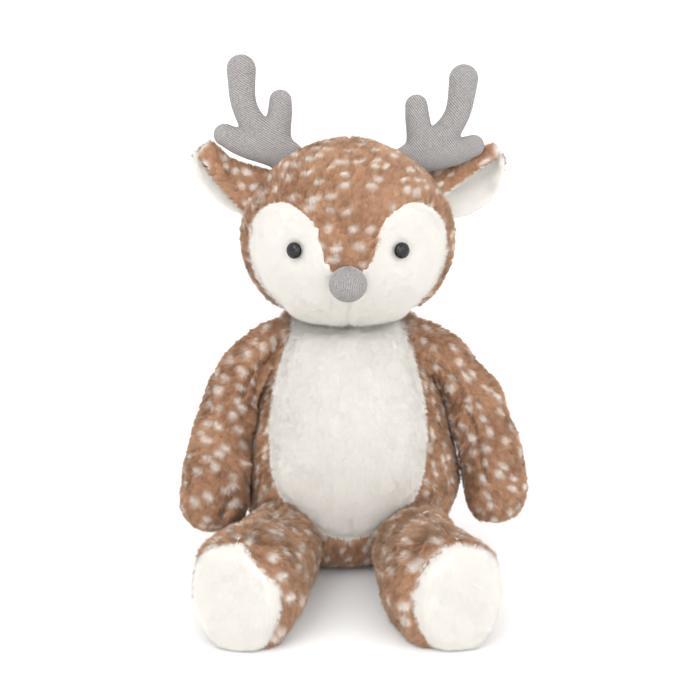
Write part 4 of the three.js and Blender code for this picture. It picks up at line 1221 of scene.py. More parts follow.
def torso_form(s, inset, rows, sides):
    """The torso with stuffed unevenness, sunk seams, a dart at the foot of the belly and a dish
    under the head."""
    base = stuffed(torso_station(s), rows, sides)
    p, n = base.points, base.normals
    flat = p.reshape(-1, 3)
    shape = p.shape[:2]
    x, y, z = p[..., 0], p[..., 1], p[..., 2]
    offset = -inset + 0.0006 * waves(flat, 0.050, 5).reshape(shape)
    seam = away_from(x, z, belly_outline(s))
    offset = offset - groove(seam, BELLY_SEAM) * (n[..., 1] < 0)
    offset = offset - groove(x, BACK_SEAM) * (y > 0) * ramp(0.01, 0.03, z)
    offset = offset - groove(x - DART_OUT, BELLY_DART) * (y < 0) * ramp(*DART_TOP, z) * ramp(*DART_FOOT, z)
    made = base.moved(offset)
    swell = np.clip(x / s.torso_half_width, 0, 1) ** 4 * ramp(*SWELL_FOOT, z) * ramp(*SWELL_TOP, z)
    made.points[..., 0] += s.torso_swell * swell
    q = made.points.reshape(-1, 3)
    q = pushed(q, -Z, lambda v: head_nodded(s, v, 0.4 * inset - 0.0014), 0.03, 30)
    q[:, 2] = np.maximum(q[:, 2], SEAT_CLEAR + 0.5 * inset)
    made.points = q.reshape(p.shape)
    return made.refresh()


class DEER_OT_torso(bpy.types.Operator):
    """Makes the torso's cloth, pile, stuffing and pellet bag"""

    bl_idname = "deer.torso"
    bl_label = "Torso"

    def execute(self, context):
        s, pile, _ = groups()
        form = torso_form(s, pile.cloth_inset, *TORSO_GRID)
        outline = belly_outline(s)

        def belly(p, n):
            return inside_outline(p[:, 0], p[:, 2], outline) & (p[:, 1] < 0)

        def seat(p, n):
            oval = (p[:, 0] / s.seat_half_width) ** 2 + (p[:, 1] / s.seat_half_depth) ** 2
            return (oval < 1) & (n[:, 2] < -0.5) & (p[:, 2] < 0.012)

        def side(sign):
            return lambda p, n: (sign * p[:, 0] > 0) & ~belly(p, n) & ~seat(p, n)

        form.fields["press"] = ramp(0.006, 0.002, form.points[..., 2])
        form.fields["long"] = TORSO_LONGER * in_head(s, form.points, NECK_NEAR)
        cover(
            "torso",
            form,
            [
                ("belly", "cream", "belly_panel", belly, 130000),
                ("seat", "brown", "seat_panel", seat, 5000),
                ("side_l", "brown", "side_panel_l", side(1), 125000),
                ("side_r", "brown", "side_panel_r", side(-1), 125000),
            ],
            lambda p, n: -Z + p * [2, 2, 0],
            pile,
            101,
            1.2,
        )
        core = torso_form(s, pile.filling_inset, *TORSO_CORE_GRID)
        filled("torso_filling", core, "torso", "torso_stuffing")
        wad = ball_station(neck_pivot(s), NECK_WAD_RADIUS, NECK_WAD_RADIUS, NECK_WAD_RADIUS)
        filled("neck_filling", stuffed(wad, 24, 32), "neck", "neck_stuffing")
        centre = np.array([0, s.torso_back - BAG_FROM_BACK, BAG_UP])
        bag = ball_station(centre, BAG_HALF_WIDTH, BAG_HALF_DEPTH, BAG_HALF_HEIGHT)
        filled("pellet_pouch", stuffed(bag, 40, 60), "torso", "pellet_bag", "pellet_bag", "pouch_cotton")
        return {"FINISHED"}


# The head

HEAD_GRID, HEAD_CORE_GRID = (190, 230), (60, 72)
# Sunk lines and dents: depth and width
CHEEK_SEAM = (0.0014, 0.003)
CROWN_SEAM = (0.0013, 0.0026)
CHIN_SEAM = (0.0016, 0.0024)
EYE_DENT = (0.0030, 0.0085)
ANTLER_DENT = (0.0016, 0.013)
NOSE_DENT = (0.0012, 0.014)
# Brow wrinkles: their depth, half the width they fill, the height of one, and how far they slope
WRINKLE_DEPTH = 0.0008
BROW_WIDTH = 0.014
WRINKLE_PITCH = 0.0072
WRINKLE_SLOPE = 0.10
# Distances from an eye and from the nose between which the pile lies pressed
EYE_PRESS = (0.0095, 0.0050)
NOSE_PRESS = (0.013, 0.009)
# Heights from the head's middle between which the pile grows longer towards the neck, and how much longer
NECK_PILE = (-0.045, -0.053)
NECK_LONGER = 0.7
CROWN_NAP = [0.45, 0.1, 0.9]
CHEEK_FALL = [0, 0, -0.6]
# The eye's stem behind its dome, as radius and depth
EYE_STEM = [[0.0018, -0.0011], [0.0016, -0.0014], [0.0016, -0.0108], [0.0013, -0.011], [0, -0.011]]
STITCH_PITCH = 0.0011
NOSE_RIB_SLOPE = 0.10
# How far ribs and stitches stand off the nose's knit, and off the antlers'
NOSE_RELIEF = (0.00014, 0.00005)
ANTLER_RELIEF = (0.00013, 0.00005)


def cheek_outline(s, sign):
    """A cheek panel's outline in the X-Z plane: the table's rows joined by a smooth curve and
    closed down the middle."""
    middle = head_middle(s)
    rows = np.array(CHEEK) * [sign * s.head_half_width, s.head_height / 2] + [0, middle[2]]
    curve = row_at(rows, np.linspace(0, 1, 70))
    return np.concatenate([curve, [[0, middle[2] - s.head_height]]])


def eye_frame(s, sign):
    """An eye's place on the face and its way out."""
    up = head_middle(s)[2] - s.eye_below
    at = lambda dx, dz: spot_on_head(s, sign * s.eye_out + dx, up + dz, -1)
    step = 0.0003
    way = unit(np.cross(at(step, 0) - at(-step, 0), at(0, step) - at(0, -step)))
    return at(0, 0), way if way[1] < 0 else -way


def nose_middle(s):
    """The nose's middle, so far behind the tip of the muzzle that it stands as proud as it should."""
    tip = spot_on_head(s, 0.0, head_middle(s)[2] - s.muzzle_below, -1)
    return tip + np.array([0, s.nose_half_depth - s.nose_proud, 0])


def head_form(s, inset, rows, sides):
    """The head with sunk seams, dented eyes, brow wrinkles and stuffed unevenness."""
    base = stuffed(head_station(s), rows, sides)
    base.points = muzzle(s, base.points)
    base.refresh()
    p, n = base.points, base.normals
    shape = p.shape[:2]
    flat = p.reshape(-1, 3)
    x, z = p[..., 0], p[..., 2]
    front = n[..., 1] < 0.1
    middle = head_middle(s)
    offset = -inset + 0.0005 * waves(flat, 0.045, 8).reshape(shape)
    for sign in SIDES.values():
        seam = away_from(x, z, cheek_outline(s, sign)[:-1])
        offset = offset - groove(seam, CHEEK_SEAM) * front
        eye, _ = eye_frame(s, sign)
        offset = offset - groove(np.linalg.norm(p - eye, axis=-1), EYE_DENT)
        antler = spot_on_head(s, sign * s.antler_root_out, middle[2] + s.antler_root_above, 1)
        offset = offset - groove(np.linalg.norm(p - antler, axis=-1), ANTLER_DENT)
    up = z - middle[2]
    crown = groove(x, CROWN_SEAM) * np.maximum(ramp(-0.004, 0.03, up), p[..., 1] > 0)
    chin = groove(x, CHIN_SEAM) * (p[..., 1] < middle[1]) * ramp(-0.030, -0.036, up)
    offset = offset - crown - chin
    brow = groove(x, (WRINKLE_DEPTH, BROW_WIDTH), 4) * ramp(-0.016, -0.008, up) * ramp(0.022, 0.006, up)
    wrinkle = 0.5 + 0.5 * np.sin(2 * math.pi * (z + WRINKLE_SLOPE * x) / WRINKLE_PITCH)
    offset = offset - brow * front * wrinkle
    nose_edge = np.linalg.norm(p - nose_middle(s), axis=-1)
    offset = offset - groove(nose_edge, NOSE_DENT, 4) * front
    return base.moved(offset)


class DEER_OT_head(bpy.types.Operator):
    """Makes the head's cloth, pile and stuffing"""

    bl_idname = "deer.head"
    bl_label = "Head"

    def execute(self, context):
        s, pile, _ = groups()
        form = head_form(s, pile.cloth_inset, *HEAD_GRID)
        middle = head_middle(s)
        outlines = {sign: cheek_outline(s, sign) for sign in SIDES.values()}
        nose = nose_middle(s)

        def cheek(sign):
            return lambda p, n: (
                inside_outline(p[:, 0], p[:, 2], outlines[sign])
                & (p[:, 1] < middle[1])
                & (sign * p[:, 0] > 0)
            )

        def crown(sign):
            return lambda p, n: (sign * p[:, 0] > 0) & ~cheek(sign)(p, n)

        gone = [np.linalg.norm(form.points - eye_frame(s, sign)[0], axis=-1) for sign in SIDES.values()]
        close = ramp(*EYE_PRESS, np.minimum(*gone))
        stud = ramp(*NOSE_PRESS, np.linalg.norm(form.points - nose, axis=-1))
        form.fields["press"] = np.clip(close + stud, 0, 1)
        form.fields["long"] = NECK_LONGER * ramp(*NECK_PILE, form.points[..., 2] - middle[2])

        def nap(p, n):
            """Away from the nose and down on the cheeks, up and back over the crown."""
            on_cheek = (cheek(1)(p, n) | cheek(-1)(p, n))[:, None]
            return np.where(on_cheek, unit(p - nose) + CHEEK_FALL, np.broadcast_to(CROWN_NAP, p.shape))

        cover(
            "head",
            form,
            [
                ("cheek_l", "cream", "cheek_panel_l", cheek(1), 70000),
                ("cheek_r", "cream", "cheek_panel_r", cheek(-1), 70000),
                ("crown_l", "brown", "crown_panel_l", crown(1), 125000),
                ("crown_r", "brown", "crown_panel_r", crown(-1), 125000),
            ],
            nap,
            pile,
            201,
        )
        filled("head_filling", head_form(s, pile.filling_inset, *HEAD_CORE_GRID), "head", "head_stuffing")
        return {"FINISHED"}


def turned_piece(name, profile, place, way, sides):
    """A profile of radius and depth carried round the way out from a place."""
    across = unit(np.cross(way, Z))
    up = np.cross(across, way)
    radius, depth = np.array(profile, float).T
    turn = 2 * math.pi * np.arange(sides) / sides
    ring = np.cos(turn)[:, None] * across + np.sin(turn)[:, None] * up
    return closed_form(name, Surface(place + depth[:, None, None] * way + radius[:, None, None] * ring[None]))


def knitted(slant, along, pile):
    """The height of the ribs across a slant, and of the stitches along them, half a stitch on at
    each rib."""
    rib = np.cos(2 * math.pi * slant / pile.rib_pitch)
    stitch = np.cos(2 * math.pi * (along / STITCH_PITCH) + math.pi * np.round(slant / pile.rib_pitch))
    return rib, stitch


class DEER_OT_face(bpy.types.Operator):
    """Makes the plastic eyes and the knitted nose"""

    bl_idname = "deer.face"
    bl_label = "Eyes and Nose"

    def execute(self, context):
        s, pile, _ = groups()
        r, h = s.eye_radius, s.eye_bulge
        dome = [[r * math.sin(a), h * math.cos(a)] for a in np.linspace(0, math.pi / 2, 14)]
        rim = [[r, -0.0006], [r - 0.0003, -0.001]]
        for label, sign in SIDES.items():
            eye = turned_piece(f"eye_dome_{label}", dome + rim + EYE_STEM, *eye_frame(s, sign), 48)
            dressed(eye, "eye_gloss", "head", "eye_plastic", f"eye_{label}")
        centre = nose_middle(s)
        shape = ball_station(centre, s.nose_half_width, s.nose_half_depth, s.nose_half_height)
        ball = stuffed(shape, 120, 170)
        x, y, z = np.moveaxis(ball.points - centre, -1, 0)
        slant = s.nose_half_width * np.arctan2(x, -y) + NOSE_RIB_SLOPE * z
        rib, stitch = knitted(slant, ball.points[..., 2], pile)
        knit = ball.moved(NOSE_RELIEF[0] * rib + NOSE_RELIEF[1] * stitch - 0.0002)
        # Painted light on the crests of the ribs and stitches, painted shade in their hollows
        nose = closed_form("nose_knit", knit, {"light": np.clip(0.5 + 0.42 * rib + 0.2 * stitch, 0, 1)})
        dressed(nose, "knit_cover", "head", "grey_knit", "nose_cover")
        filled("nose_filling", ball.moved(-0.0016), "head", "nose_stuffing")
        return {"FINISHED"}


# Arms and legs

ARM_GRID, ARM_CORE_GRID = (150, 130), (50, 44)
LEG_GRID, LEG_CORE_GRID = (170, 150), (56, 50)
ARM_LIMITS = {-1: (-4, 75), 1: (-20, 75)}
ARM_SPOT_SLANTS = {-1: 0.3, 1: 1.0}
# Where the left arm is flatter: its place out and half width, its height and half height
SHOULDER_PATCH = (0.083, 0.020, 0.131, 0.018)
HAND_PATCH = (0.071, 0.009, 0.050, 0.026)
# Folds across the front of each arm: a line of places in the X-Z plane, its depth and its half width
ARM_FOLDS = {
    -1: [
        (
            [[-0.043, 0.153], [-0.048, 0.143], [-0.054, 0.133], [-0.0575, 0.120], [-0.0585, 0.108]],
            (0.0052, 0.0034),
        ),
        ([[-0.0545, 0.1385], [-0.0615, 0.130], [-0.0655, 0.118]], (0.0034, 0.0028)),
        ([[-0.060, 0.112], [-0.0655, 0.103]], (0.0022, 0.0028)),
        ([[-0.0735, 0.054], [-0.0775, 0.047], [-0.0800, 0.040]], (0.0048, 0.0026)),
    ],
    1: [
        (
            [[0.0505, 0.139], [0.0625, 0.132], [0.0735, 0.1235], [0.0752, 0.112], [0.068, 0.107]],
            (0.0030, 0.0016),
        ),
        ([[0.0765, 0.105], [0.0825, 0.0935], [0.0865, 0.074], [0.0895, 0.060]], (0.0030, 0.0016)),
        ([[0.055, 0.128], [0.060, 0.114], [0.0665, 0.104]], (0.0020, 0.0030)),
    ],
}


def arm_wall(s, sign, y, z):
    """How far out the torso's side reaches at places of the Y-Z plane as the arm carries them round
    the shoulder between its limits: the highest value met, read from a table over radius and
    direction."""
    r = np.linspace(0, 0.16, 60)
    turn = np.radians(np.arange(0, 361, 4.0))
    table = np.zeros((len(r), len(turn)))
    for stop in np.radians(np.linspace(*ARM_LIMITS[sign], 24)):
        met_y = -np.outer(r, np.sin(turn + stop))
        met_z = s.shoulder_up - np.outer(r, np.cos(turn + stop))
        table = np.maximum(table, torso_side(s, met_y, met_z))
    radius = np.minimum(np.hypot(y, z - s.shoulder_up) / r[1], len(r) - 1.001)
    way = np.arctan2(-y, s.shoulder_up - z) % (2 * math.pi) / turn[1]
    i, j = radius.astype(int), np.minimum(way.astype(int), len(turn) - 2)
    a, b = radius - i, way - j
    low = (1 - b) * table[i, j] + b * table[i, j + 1]
    high = (1 - b) * table[i + 1, j] + b * table[i + 1, j + 1]
    return (1 - a) * low + a * high


def arm_form(s, sign, inset, rows, sides):
    """The arm, flattened where it lies against the torso's side, with folds at the elbow and a
    crease in the palm."""
    base = stuffed(arm_station(s, sign), rows, sides)
    shape = base.points.shape[:2]
    p, n = base.points, base.normals
    x, z = p[..., 0], p[..., 2]
    offset = -inset + 0.0007 * waves(p.reshape(-1, 3), 0.034, 31 + sign).reshape(shape)
    if sign > 0:
        offset = offset - s.shoulder_dent * patch(x, z, SHOULDER_PATCH)
        offset = offset - s.hand_dent * patch(x, z, HAND_PATCH)
    front = ramp(0.25, -0.1, n[..., 1])
    fold = np.zeros(shape)
    for line, relief in ARM_FOLDS[sign]:
        gone = away_from(x, z, np.array(line))
        offset = offset - groove(gone, relief) * front
        fold = np.maximum(fold, groove(gone, (1, 0.6 * relief[1])) * front)
    made = base.moved(offset)
    # The folds' field marks where painted shade darkens the creases and where the pile lies shorter
    made.fields["fold"] = fold
    pivot = arm_frame(s, sign)[0]
    q = made.points
    radius = np.hypot(q[..., 1] - pivot[1], q[..., 2] - pivot[2])
    ball = -np.sqrt(np.maximum((s.shoulder_radius - inset) ** 2 - radius**2, 0))
    wall = arm_wall(s, sign, q[..., 1], q[..., 2]) - s.shoulder_out + 0.0004 + 0.2 * inset
    least = ball + (wall - ball) * ramp(s.shoulder_radius - 0.002, s.shoulder_radius + 0.003, radius)
    out = sign * (q[..., 0] - pivot[0])
    made.fields["press"] = 0.5 * ramp(0.003, 0.0, out - least) * (least > -0.02)
    q[..., 0] = pivot[0] + sign * np.maximum(out, least)
    return made.refresh()


class DEER_OT_arms(bpy.types.Operator):
    """Makes both arms' cloth, pile and stuffing"""

    bl_idname = "deer.arms"
    bl_label = "Arms"

    def execute(self, context):
        s, pile, _ = groups()
        for label, sign in SIDES.items():
            form = arm_form(s, sign, pile.cloth_inset, *ARM_GRID)
            _, reach, drop, down, _ = arm_frame(s, sign)
            seam = unit(sign * drop * X - 0.6 * reach * down)
            point = arm_station(s, sign)(np.array([0.5]))[0][0]
            outer = lambda p, n: (p - point) @ seam > 0
            inner = lambda p, n: ~outer(p, n)
            way = unit(down + 0.45 * sign * X)
            cover(
                f"arm_{label}",
                form,
                [
                    (f"arm_outer_{label}", "brown", f"arm_outer_{label}", outer, 75000),
                    (f"arm_inner_{label}", "brown", f"arm_inner_{label}", inner, 75000),
                ],
                lambda p, n: np.broadcast_to(way, p.shape),
                pile,
                301 + 10 * sign,
                ARM_SPOT_SLANTS[sign],
            )
            core = arm_form(s, sign, pile.filling_inset, *ARM_CORE_GRID)
            filled(f"arm_filling_{label}", core, f"arm_{label}", f"arm_stuffing_{label}")
        return {"FINISHED"}


SOLE_SEAM = (0.0016, 0.003)
# Where the foot's upper outer corner lies, in shares of its half width and height, and how far it spreads
FOOT_CORNER = 0.72
CORNER_SPREAD = 0.14
LEG_LIMITS = (-15, 0, 30)
LEG_SPOT_SLANT = 1.3
LEG_SPOT_SCALE = 1.25
# How much further back the sole's seam runs on the foot's outer and under side
SEAM_BACK = 0.0045


def around_leg(s, sign, p):
    """Places round the leg's middle, out and up, in shares of its half width and half height at the
    foot."""
    pivot, _, out = leg_frame(s, sign)
    return ((p - pivot) @ out) / s.leg_half_width, (p[..., 2] - s.foot_height / 2) / (s.foot_height / 2)


def leg_form(s, sign, inset, rows, sides):
    """The leg, ending against the torso's front round the ball of its hip, with a seam round the
    sole and folds at the ankle."""
    base = stuffed(leg_station(s, sign), rows, sides)
    shape = base.points.shape[:2]
    p = base.points
    pivot, ahead, _ = leg_frame(s, sign)
    far = (p - pivot) @ ahead
    seam = s.leg_length - s.hip_radius - s.sole_depth
    offset = -inset + 0.0007 * waves(p.reshape(-1, 3), 0.036, 51 + sign).reshape(shape)
    offset = offset - groove(far - seam, SOLE_SEAM)
    across, height = around_leg(s, sign, p)
    gone = (across - FOOT_CORNER) ** 2 + (height - FOOT_CORNER) ** 2
    corner = np.exp(-gone / CORNER_SPREAD) * ramp(0.45, 0.8, far / seam)
    thigh = ramp(0.0, 0.6, height) * ramp(0.8, 0.35, far / seam)
    offset = offset + s.leg_corner * corner - s.thigh_dent * thigh
    made = base.moved(offset)
    q = made.points.reshape(-1, 3)

    def blocked(v):
        """Within the torso as met from the leg at rest and at both its limits, and outside the
        hip's ball."""
        hit = np.zeros(len(v), bool)
        for degrees in LEG_LIMITS:
            hit |= in_torso(s, turned(v, pivot, X, math.radians(degrees)), 0.0008 + inset)
        return hit & (np.linalg.norm(v - pivot, axis=1) > s.hip_radius - inset)

    before = q.copy()
    q = pushed(q, ahead, blocked, 0.09, 90)
    made.fields["press"] = 0.35 * ramp(0.0, 0.003, np.linalg.norm(q - before, axis=1)).reshape(shape)
    under = ramp(0.003, 0.0005, q[:, 2] - 0.5 * inset).reshape(shape)
    made.fields["press"] = np.maximum(made.fields["press"], under)
    q[:, 2] = np.maximum(q[:, 2], SEAT_CLEAR + 0.5 * inset)
    made.points = q.reshape(p.shape)
    return made.refresh()


class DEER_OT_legs(bpy.types.Operator):
    """Makes both legs' cloth, soles, pile and stuffing"""

    bl_idname = "deer.legs"
    bl_label = "Legs"

    def execute(self, context):
        s, pile, _ = groups()
        for label, sign in SIDES.items():
            form = leg_form(s, sign, pile.cloth_inset, *LEG_GRID)
            pivot, ahead, out = leg_frame(s, sign)
            edge = s.leg_length - s.hip_radius - s.sole_depth - 0.0015

            def sole(p, n):
                """Ahead of the seam, which runs further back on the outer and the under side and
                cuts off the upper inner corner."""
                across, height = around_leg(s, sign, p)
                past = (p - pivot) @ ahead > edge - SEAM_BACK * ramp(0.0, 0.6, 0.8 * across - 0.6 * height)
                corner = np.maximum(height - across, 1.15 * height - 0.45 * across + 0.03)
                return past & (corner < 2 * sided(s, sign, "sole_corner"))

            def nap(p, n):
                """Outward round the rim of the sole and downward in its middle, down and outward
                elsewhere."""
                across, height = around_leg(s, sign, p)
                near_rim = ramp(0.5, 0.95, np.hypot(across, height))[:, None]
                spread = near_rim * (across[:, None] * out + height[:, None] * Z)
                spread = spread + (1 - near_rim) * (0.4 * out - 0.5 * Z)
                lying = 0.6 * np.sign(across)[:, None] * out - 0.8 * Z + 0.25 * ahead
                return np.where(sole(p, n)[:, None], spread, lying)

            outer = lambda p, n: ((p - pivot) @ out > 0) & ~sole(p, n)
            inner = lambda p, n: ((p - pivot) @ out <= 0) & ~sole(p, n)
            cover(
                f"leg_{label}",
                form,
                [
                    (f"leg_outer_{label}", "brown", f"leg_outer_{label}", outer, 75000),
                    (f"leg_inner_{label}", "brown", f"leg_inner_{label}", inner, 75000),
                    (f"sole_{label}", "cream", f"sole_{label}", sole, 45000),
                ],
                nap,
                pile,
                401 + 10 * sign,
                LEG_SPOT_SLANT,
                LEG_SPOT_SCALE,
            )
            core = leg_form(s, sign, pile.filling_inset, *LEG_CORE_GRID)
            filled(f"leg_filling_{label}", core, f"leg_{label}", f"leg_stuffing_{label}")
        return {"FINISHED"}


# Tail


class DEER_OT_tail(bpy.types.Operator):
    """Makes the tail's two halves"""

    bl_idname = "deer.tail"
    bl_label = "Tail"

    def execute(self, context):
        s, pile, _ = groups()
        base = stuffed(tail_station(s), 60, 70).moved(-0.0012)
        q = base.points.reshape(-1, 3)
        z, _, _, behind = torso_reach(s)
        root = np.array([0, np.interp(s.tail_up, z, behind), s.tail_up])
        way = np.array([0, math.cos(s.tail_lift), math.sin(s.tail_lift)])

        def blocked(v):
            """Within the torso as met from the tail at rest and at both its limits."""
            turns = [in_torso(s, turned(v, root, X, math.radians(d)), 0.0006) for d in (-25, 0, 20)]
            return turns[0] | turns[1] | turns[2]

        base.points = pushed(q, way, blocked, 0.04, 60).reshape(base.points.shape)
        base.refresh()
        over = np.array([0, -way[2], way[1]])
        top = lambda p, n: (p - root) @ over > 0
        cover(
            "tail",
            base,
            [
                ("tail_top", "brown", "tail_top", top, 12000),
                ("tail_under", "cream", "tail_under", lambda p, n: ~top(p, n), 12000),
            ],
            lambda p, n: np.broadcast_to(way, p.shape),
            pile,
            501,
        )
        return {"FINISHED"}


# Ears

# Guides from root to tip, in shares of the ear's length out, back and up from its pivot
EAR = {
    1: {
        "rim": [
            [0.17, -0.14, -0.37],
            [0.45, -0.06, -0.31],
            [0.73, 0, -0.12],
            [0.86, 0.01, 0.15],
            [0.86, 0, 0.35],
        ],
        "fold": [
            [-0.09, 0.06, 0.08],
            [0.15, 0.14, 0.19],
            [0.4, 0.12, 0.32],
            [0.63, 0.06, 0.44],
            [0.8, 0, 0.5],
        ],
        "edge": [
            [0.06, -0.2, -0.15],
            [0.2, -0.13, 0],
            [0.39, -0.1, 0.14],
            [0.59, -0.08, 0.29],
            [0.8, -0.04, 0.45],
        ],
    },
    -1: {
        "rim": [
            [0.15, -0.14, -0.33],
            [0.4, -0.06, -0.26],
            [0.67, 0, -0.05],
            [0.82, 0.03, 0.2],
            [0.83, 0.02, 0.47],
        ],
        "fold": [
            [-0.11, -0.03, 0.16],
            [0.12, 0, 0.2],
            [0.38, 0.01, 0.28],
            [0.58, 0, 0.44],
            [0.71, -0.02, 0.56],
        ],
        "edge": [
            [0.1, -0.32, -0.3],
            [0.26, -0.3, -0.2],
            [0.45, -0.24, 0.04],
            [0.63, -0.16, 0.27],
            [0.76, -0.06, 0.48],
        ],
    },
}
# How each ear layer's shading turns, and how far back a normal may face and still turn
EAR_FACING = {"brown": (1.3 * Z / 3 - 1.3 * Y, 0.35), "cream": (-1.3 * Y, 1.6)}
# How light each kind's cloth and pile are on the ears: painted light makes the cloth and the cream pile
# lighter than on the body, to lift the shade in the ears' hollows and at their edges
EAR_PAINTED_LIGHT = {"brown": (0.45, 0.5), "cream": (0.9, 0.8)}
EAR_PILE_SHARE = 0.85
EAR_GAP = 0.0002
PALE_TIP = (0.90, 0.98)
EAR_SPOT_SLANT = 1.2
EAR_SEED = 601


def ear_sheet(s, sign, columns, rows):
    """The middle of an ear's two layers: five smooth curves from root to tip, the lower rim, the
    hollow, the fold, the flap and its free edge, joined across by smooth curves."""
    pivot = spot_on_head(s, sign * s.ear_root_out, head_middle(s)[2] + s.ear_root_above, 1)
    u = np.linspace(-s.ear_root_sink / s.ear_length, 0.99, columns)[:, None]

    def guide(name):
        table = np.array(EAR[sign][name])
        into = np.minimum(u, 0) * (len(table) - 1) * (table[1] - table[0])
        return pivot + (row_at(table, np.maximum(u[:, 0], 0)) + into) * s.ear_length * [sign, 1, 1]

    rim, fold, edge = guide("rim"), guide("fold"), guide("edge")
    swell = np.sin(math.pi * (0.15 + 0.75 * np.maximum(u, 0)))
    hollow = (rim + fold) / 2 + Y * swell * sided(s, sign, "ear_hollow")
    flap = (fold + edge) / 2 - Y * swell * sided(s, sign, "ear_flap")
    lines = np.stack([rim, hollow, fold, flap, edge], axis=0)
    across = row_at(lines.reshape(5, -1), np.linspace(0, 1, rows)).reshape(rows, columns, 3)
    return np.swapaxes(across, 0, 1)


def ear_layer(sheet, n, near, far):
    """A closed ring of points round each column of the sheet: out along one face, back along the
    other, with drawn-in edges."""
    v = np.linspace(-1, 1, sheet.shape[1])[None, :, None]
    u = np.linspace(0, 1, sheet.shape[0])[:, None, None]
    blunt = lambda t: np.sqrt(np.maximum(1 - t**14, 0))
    full = blunt(np.abs(v)) * blunt(np.maximum(2 * u - 1, 0))
    middle = (near + far) / 2
    front = sheet + n * (middle + (far - middle) * full)
    back = sheet + n * (middle + (near - middle) * full)
    ring = np.concatenate([front, back[:, ::-1]], axis=1)
    ends = [np.repeat(e.mean(axis=1, keepdims=True), ring.shape[1], axis=1) for e in (ring[:1], ring[-1:])]
    return Surface(np.concatenate([ends[0], ring, ends[1]], axis=0))


class DEER_OT_ears(bpy.types.Operator):
    """Makes both ears: a brown back whose upper edge folds forward, and a cream lining"""

    bl_idname = "deer.ears"
    bl_label = "Ears"

    def execute(self, context):
        s, pile, _ = groups()
        for label, sign in SIDES.items():
            sheet = ear_sheet(s, sign, 60, 90)
            n = unit(np.cross(np.gradient(sheet, axis=0), np.gradient(sheet, axis=1)))
            n = n if np.mean(n[:, :20, 1]) > 0 else -n
            for kind, near, far, node, locks in (
                ("brown", EAR_GAP, s.ear_ply, f"ear_back_{label}", 36000),
                ("cream", -EAR_GAP, -s.ear_ply, f"ear_lining_{label}", 28000),
            ):
                brown = kind == "brown"
                part = np.s_[:-4, 4:] if brown else np.s_[:, :]
                layer = ear_layer(sheet[part], n[part], near, far)
                shape = layer.points.shape[:2]
                pale_tip = lambda place: ramp(PALE_TIP[0] * shape[0], PALE_TIP[1] * shape[0], place)
                row, side = np.meshgrid(1.0 * np.arange(shape[0]), 1.0 * np.arange(shape[1]), indexing="ij")
                tone = spots_on(layer, row, side, 0, 0, pile, EAR_SPOT_SLANT, EAR_SEED)
                tone = np.maximum(tone, pale_tip(row)) * brown
                if brown:
                    tone[:, :12] = tone[:, -12:] = 1.0
                # Painted light: the ears' cloth is lighter than the body's
                fields = {"tone": tone, "light": np.full(shape, EAR_PAINTED_LIGHT[kind][0])}
                cloth = closed_form(f"{node}_cloth", layer, fields, EAR_FACING[kind])
                dressed(cloth, f"{kind}_pile", f"ear_{label}", f"{kind}_plush", node)
                outside = np.zeros(shape)
                outside[1:-1, (5 if brown else 0) : shape[1] // 2] = 1.0
                if not brown:
                    outside[1:-1, -9:] = 1.0
                roots, normals, _, grid = scattered(layer, locks, EAR_SEED + sign, outside)

                def tone_of(shift):
                    """The spots and the pale tip at a shift from the roots, none on the lining."""
                    ahead, around = dot(shift, grid["along"])[:, 0], dot(shift, grid["around"])[:, 0]
                    place = (grid["row"], grid["side"], ahead, around)
                    found = spots_on(layer, *place, pile, EAR_SPOT_SLANT, EAR_SEED)
                    return np.maximum(found, pale_tip(grid["row"])) * brown

                away = np.broadcast_to(unit(sheet[-1, 45] - sheet[0, 45]), roots.shape)
                reach = np.full(len(roots), EAR_PILE_SHARE * getattr(pile, f"{kind}_length"))
                # Painted light: the ears' cream pile is lighter than the body's
                light = np.full(len(roots), EAR_PAINTED_LIGHT[kind][1])
                lie = (roots, normals, away, reach)
                look = (LOOKS[kind], EAR_FACING[kind])
                coat = grow_pile(f"{node}_pile", *lie, pile, tone_of, light, EAR_SEED + 10 + sign, *look)
                dressed(coat, f"{kind}_pile", f"ear_{label}", f"{kind}_plush")
        return {"FINISHED"}


# Antlers

BEAM = [[0, 0], [0.24, 0.16], [0.47, 0.34], [0.62, 0.53], [0.68, 0.71], [0.69, 1]]
INNER_TINE = [[0.16, 0.16], [0.14, 0.35], [0.11, 0.52], [0.1, 0.65]]
OUTER_TINE = [[0.3, 0.1], [0.66, 0.17], [0.96, 0.27]]
# Each tine's route, and its half widths in shares of the beam's
TINES = [
    (BEAM, [[1.08], [0.98], [0.84], [0.77], [0.79], [0.88]]),
    (INNER_TINE, [[0.82], [0.78], [0.74], [0.68]]),
    (OUTER_TINE, [[0.9], [0.82], [0.68]]),
]


# The slope of each antler's ribs in degrees
RIB_SLOPES = {1: 40, -1: 60}
RIB_SWAY = 0.0006
TINE_BLEND = 0.0011
KNIT_INSET, KNIT_STEP = 0.0003, 0.00042
CORE_INSET, CORE_STEP = 0.0018, 0.0012
# How deep in the head the knit is cut off
KNIT_SUNK = 0.006


def antler_root(s, sign):
    """An antler's root on the back of the head, the left one a little lower."""
    lower = s.antler_drop * Z if sign > 0 else 0 * Z
    return spot_on_head(s, sign * s.antler_root_out, head_middle(s)[2] + s.antler_root_above, 1) - lower


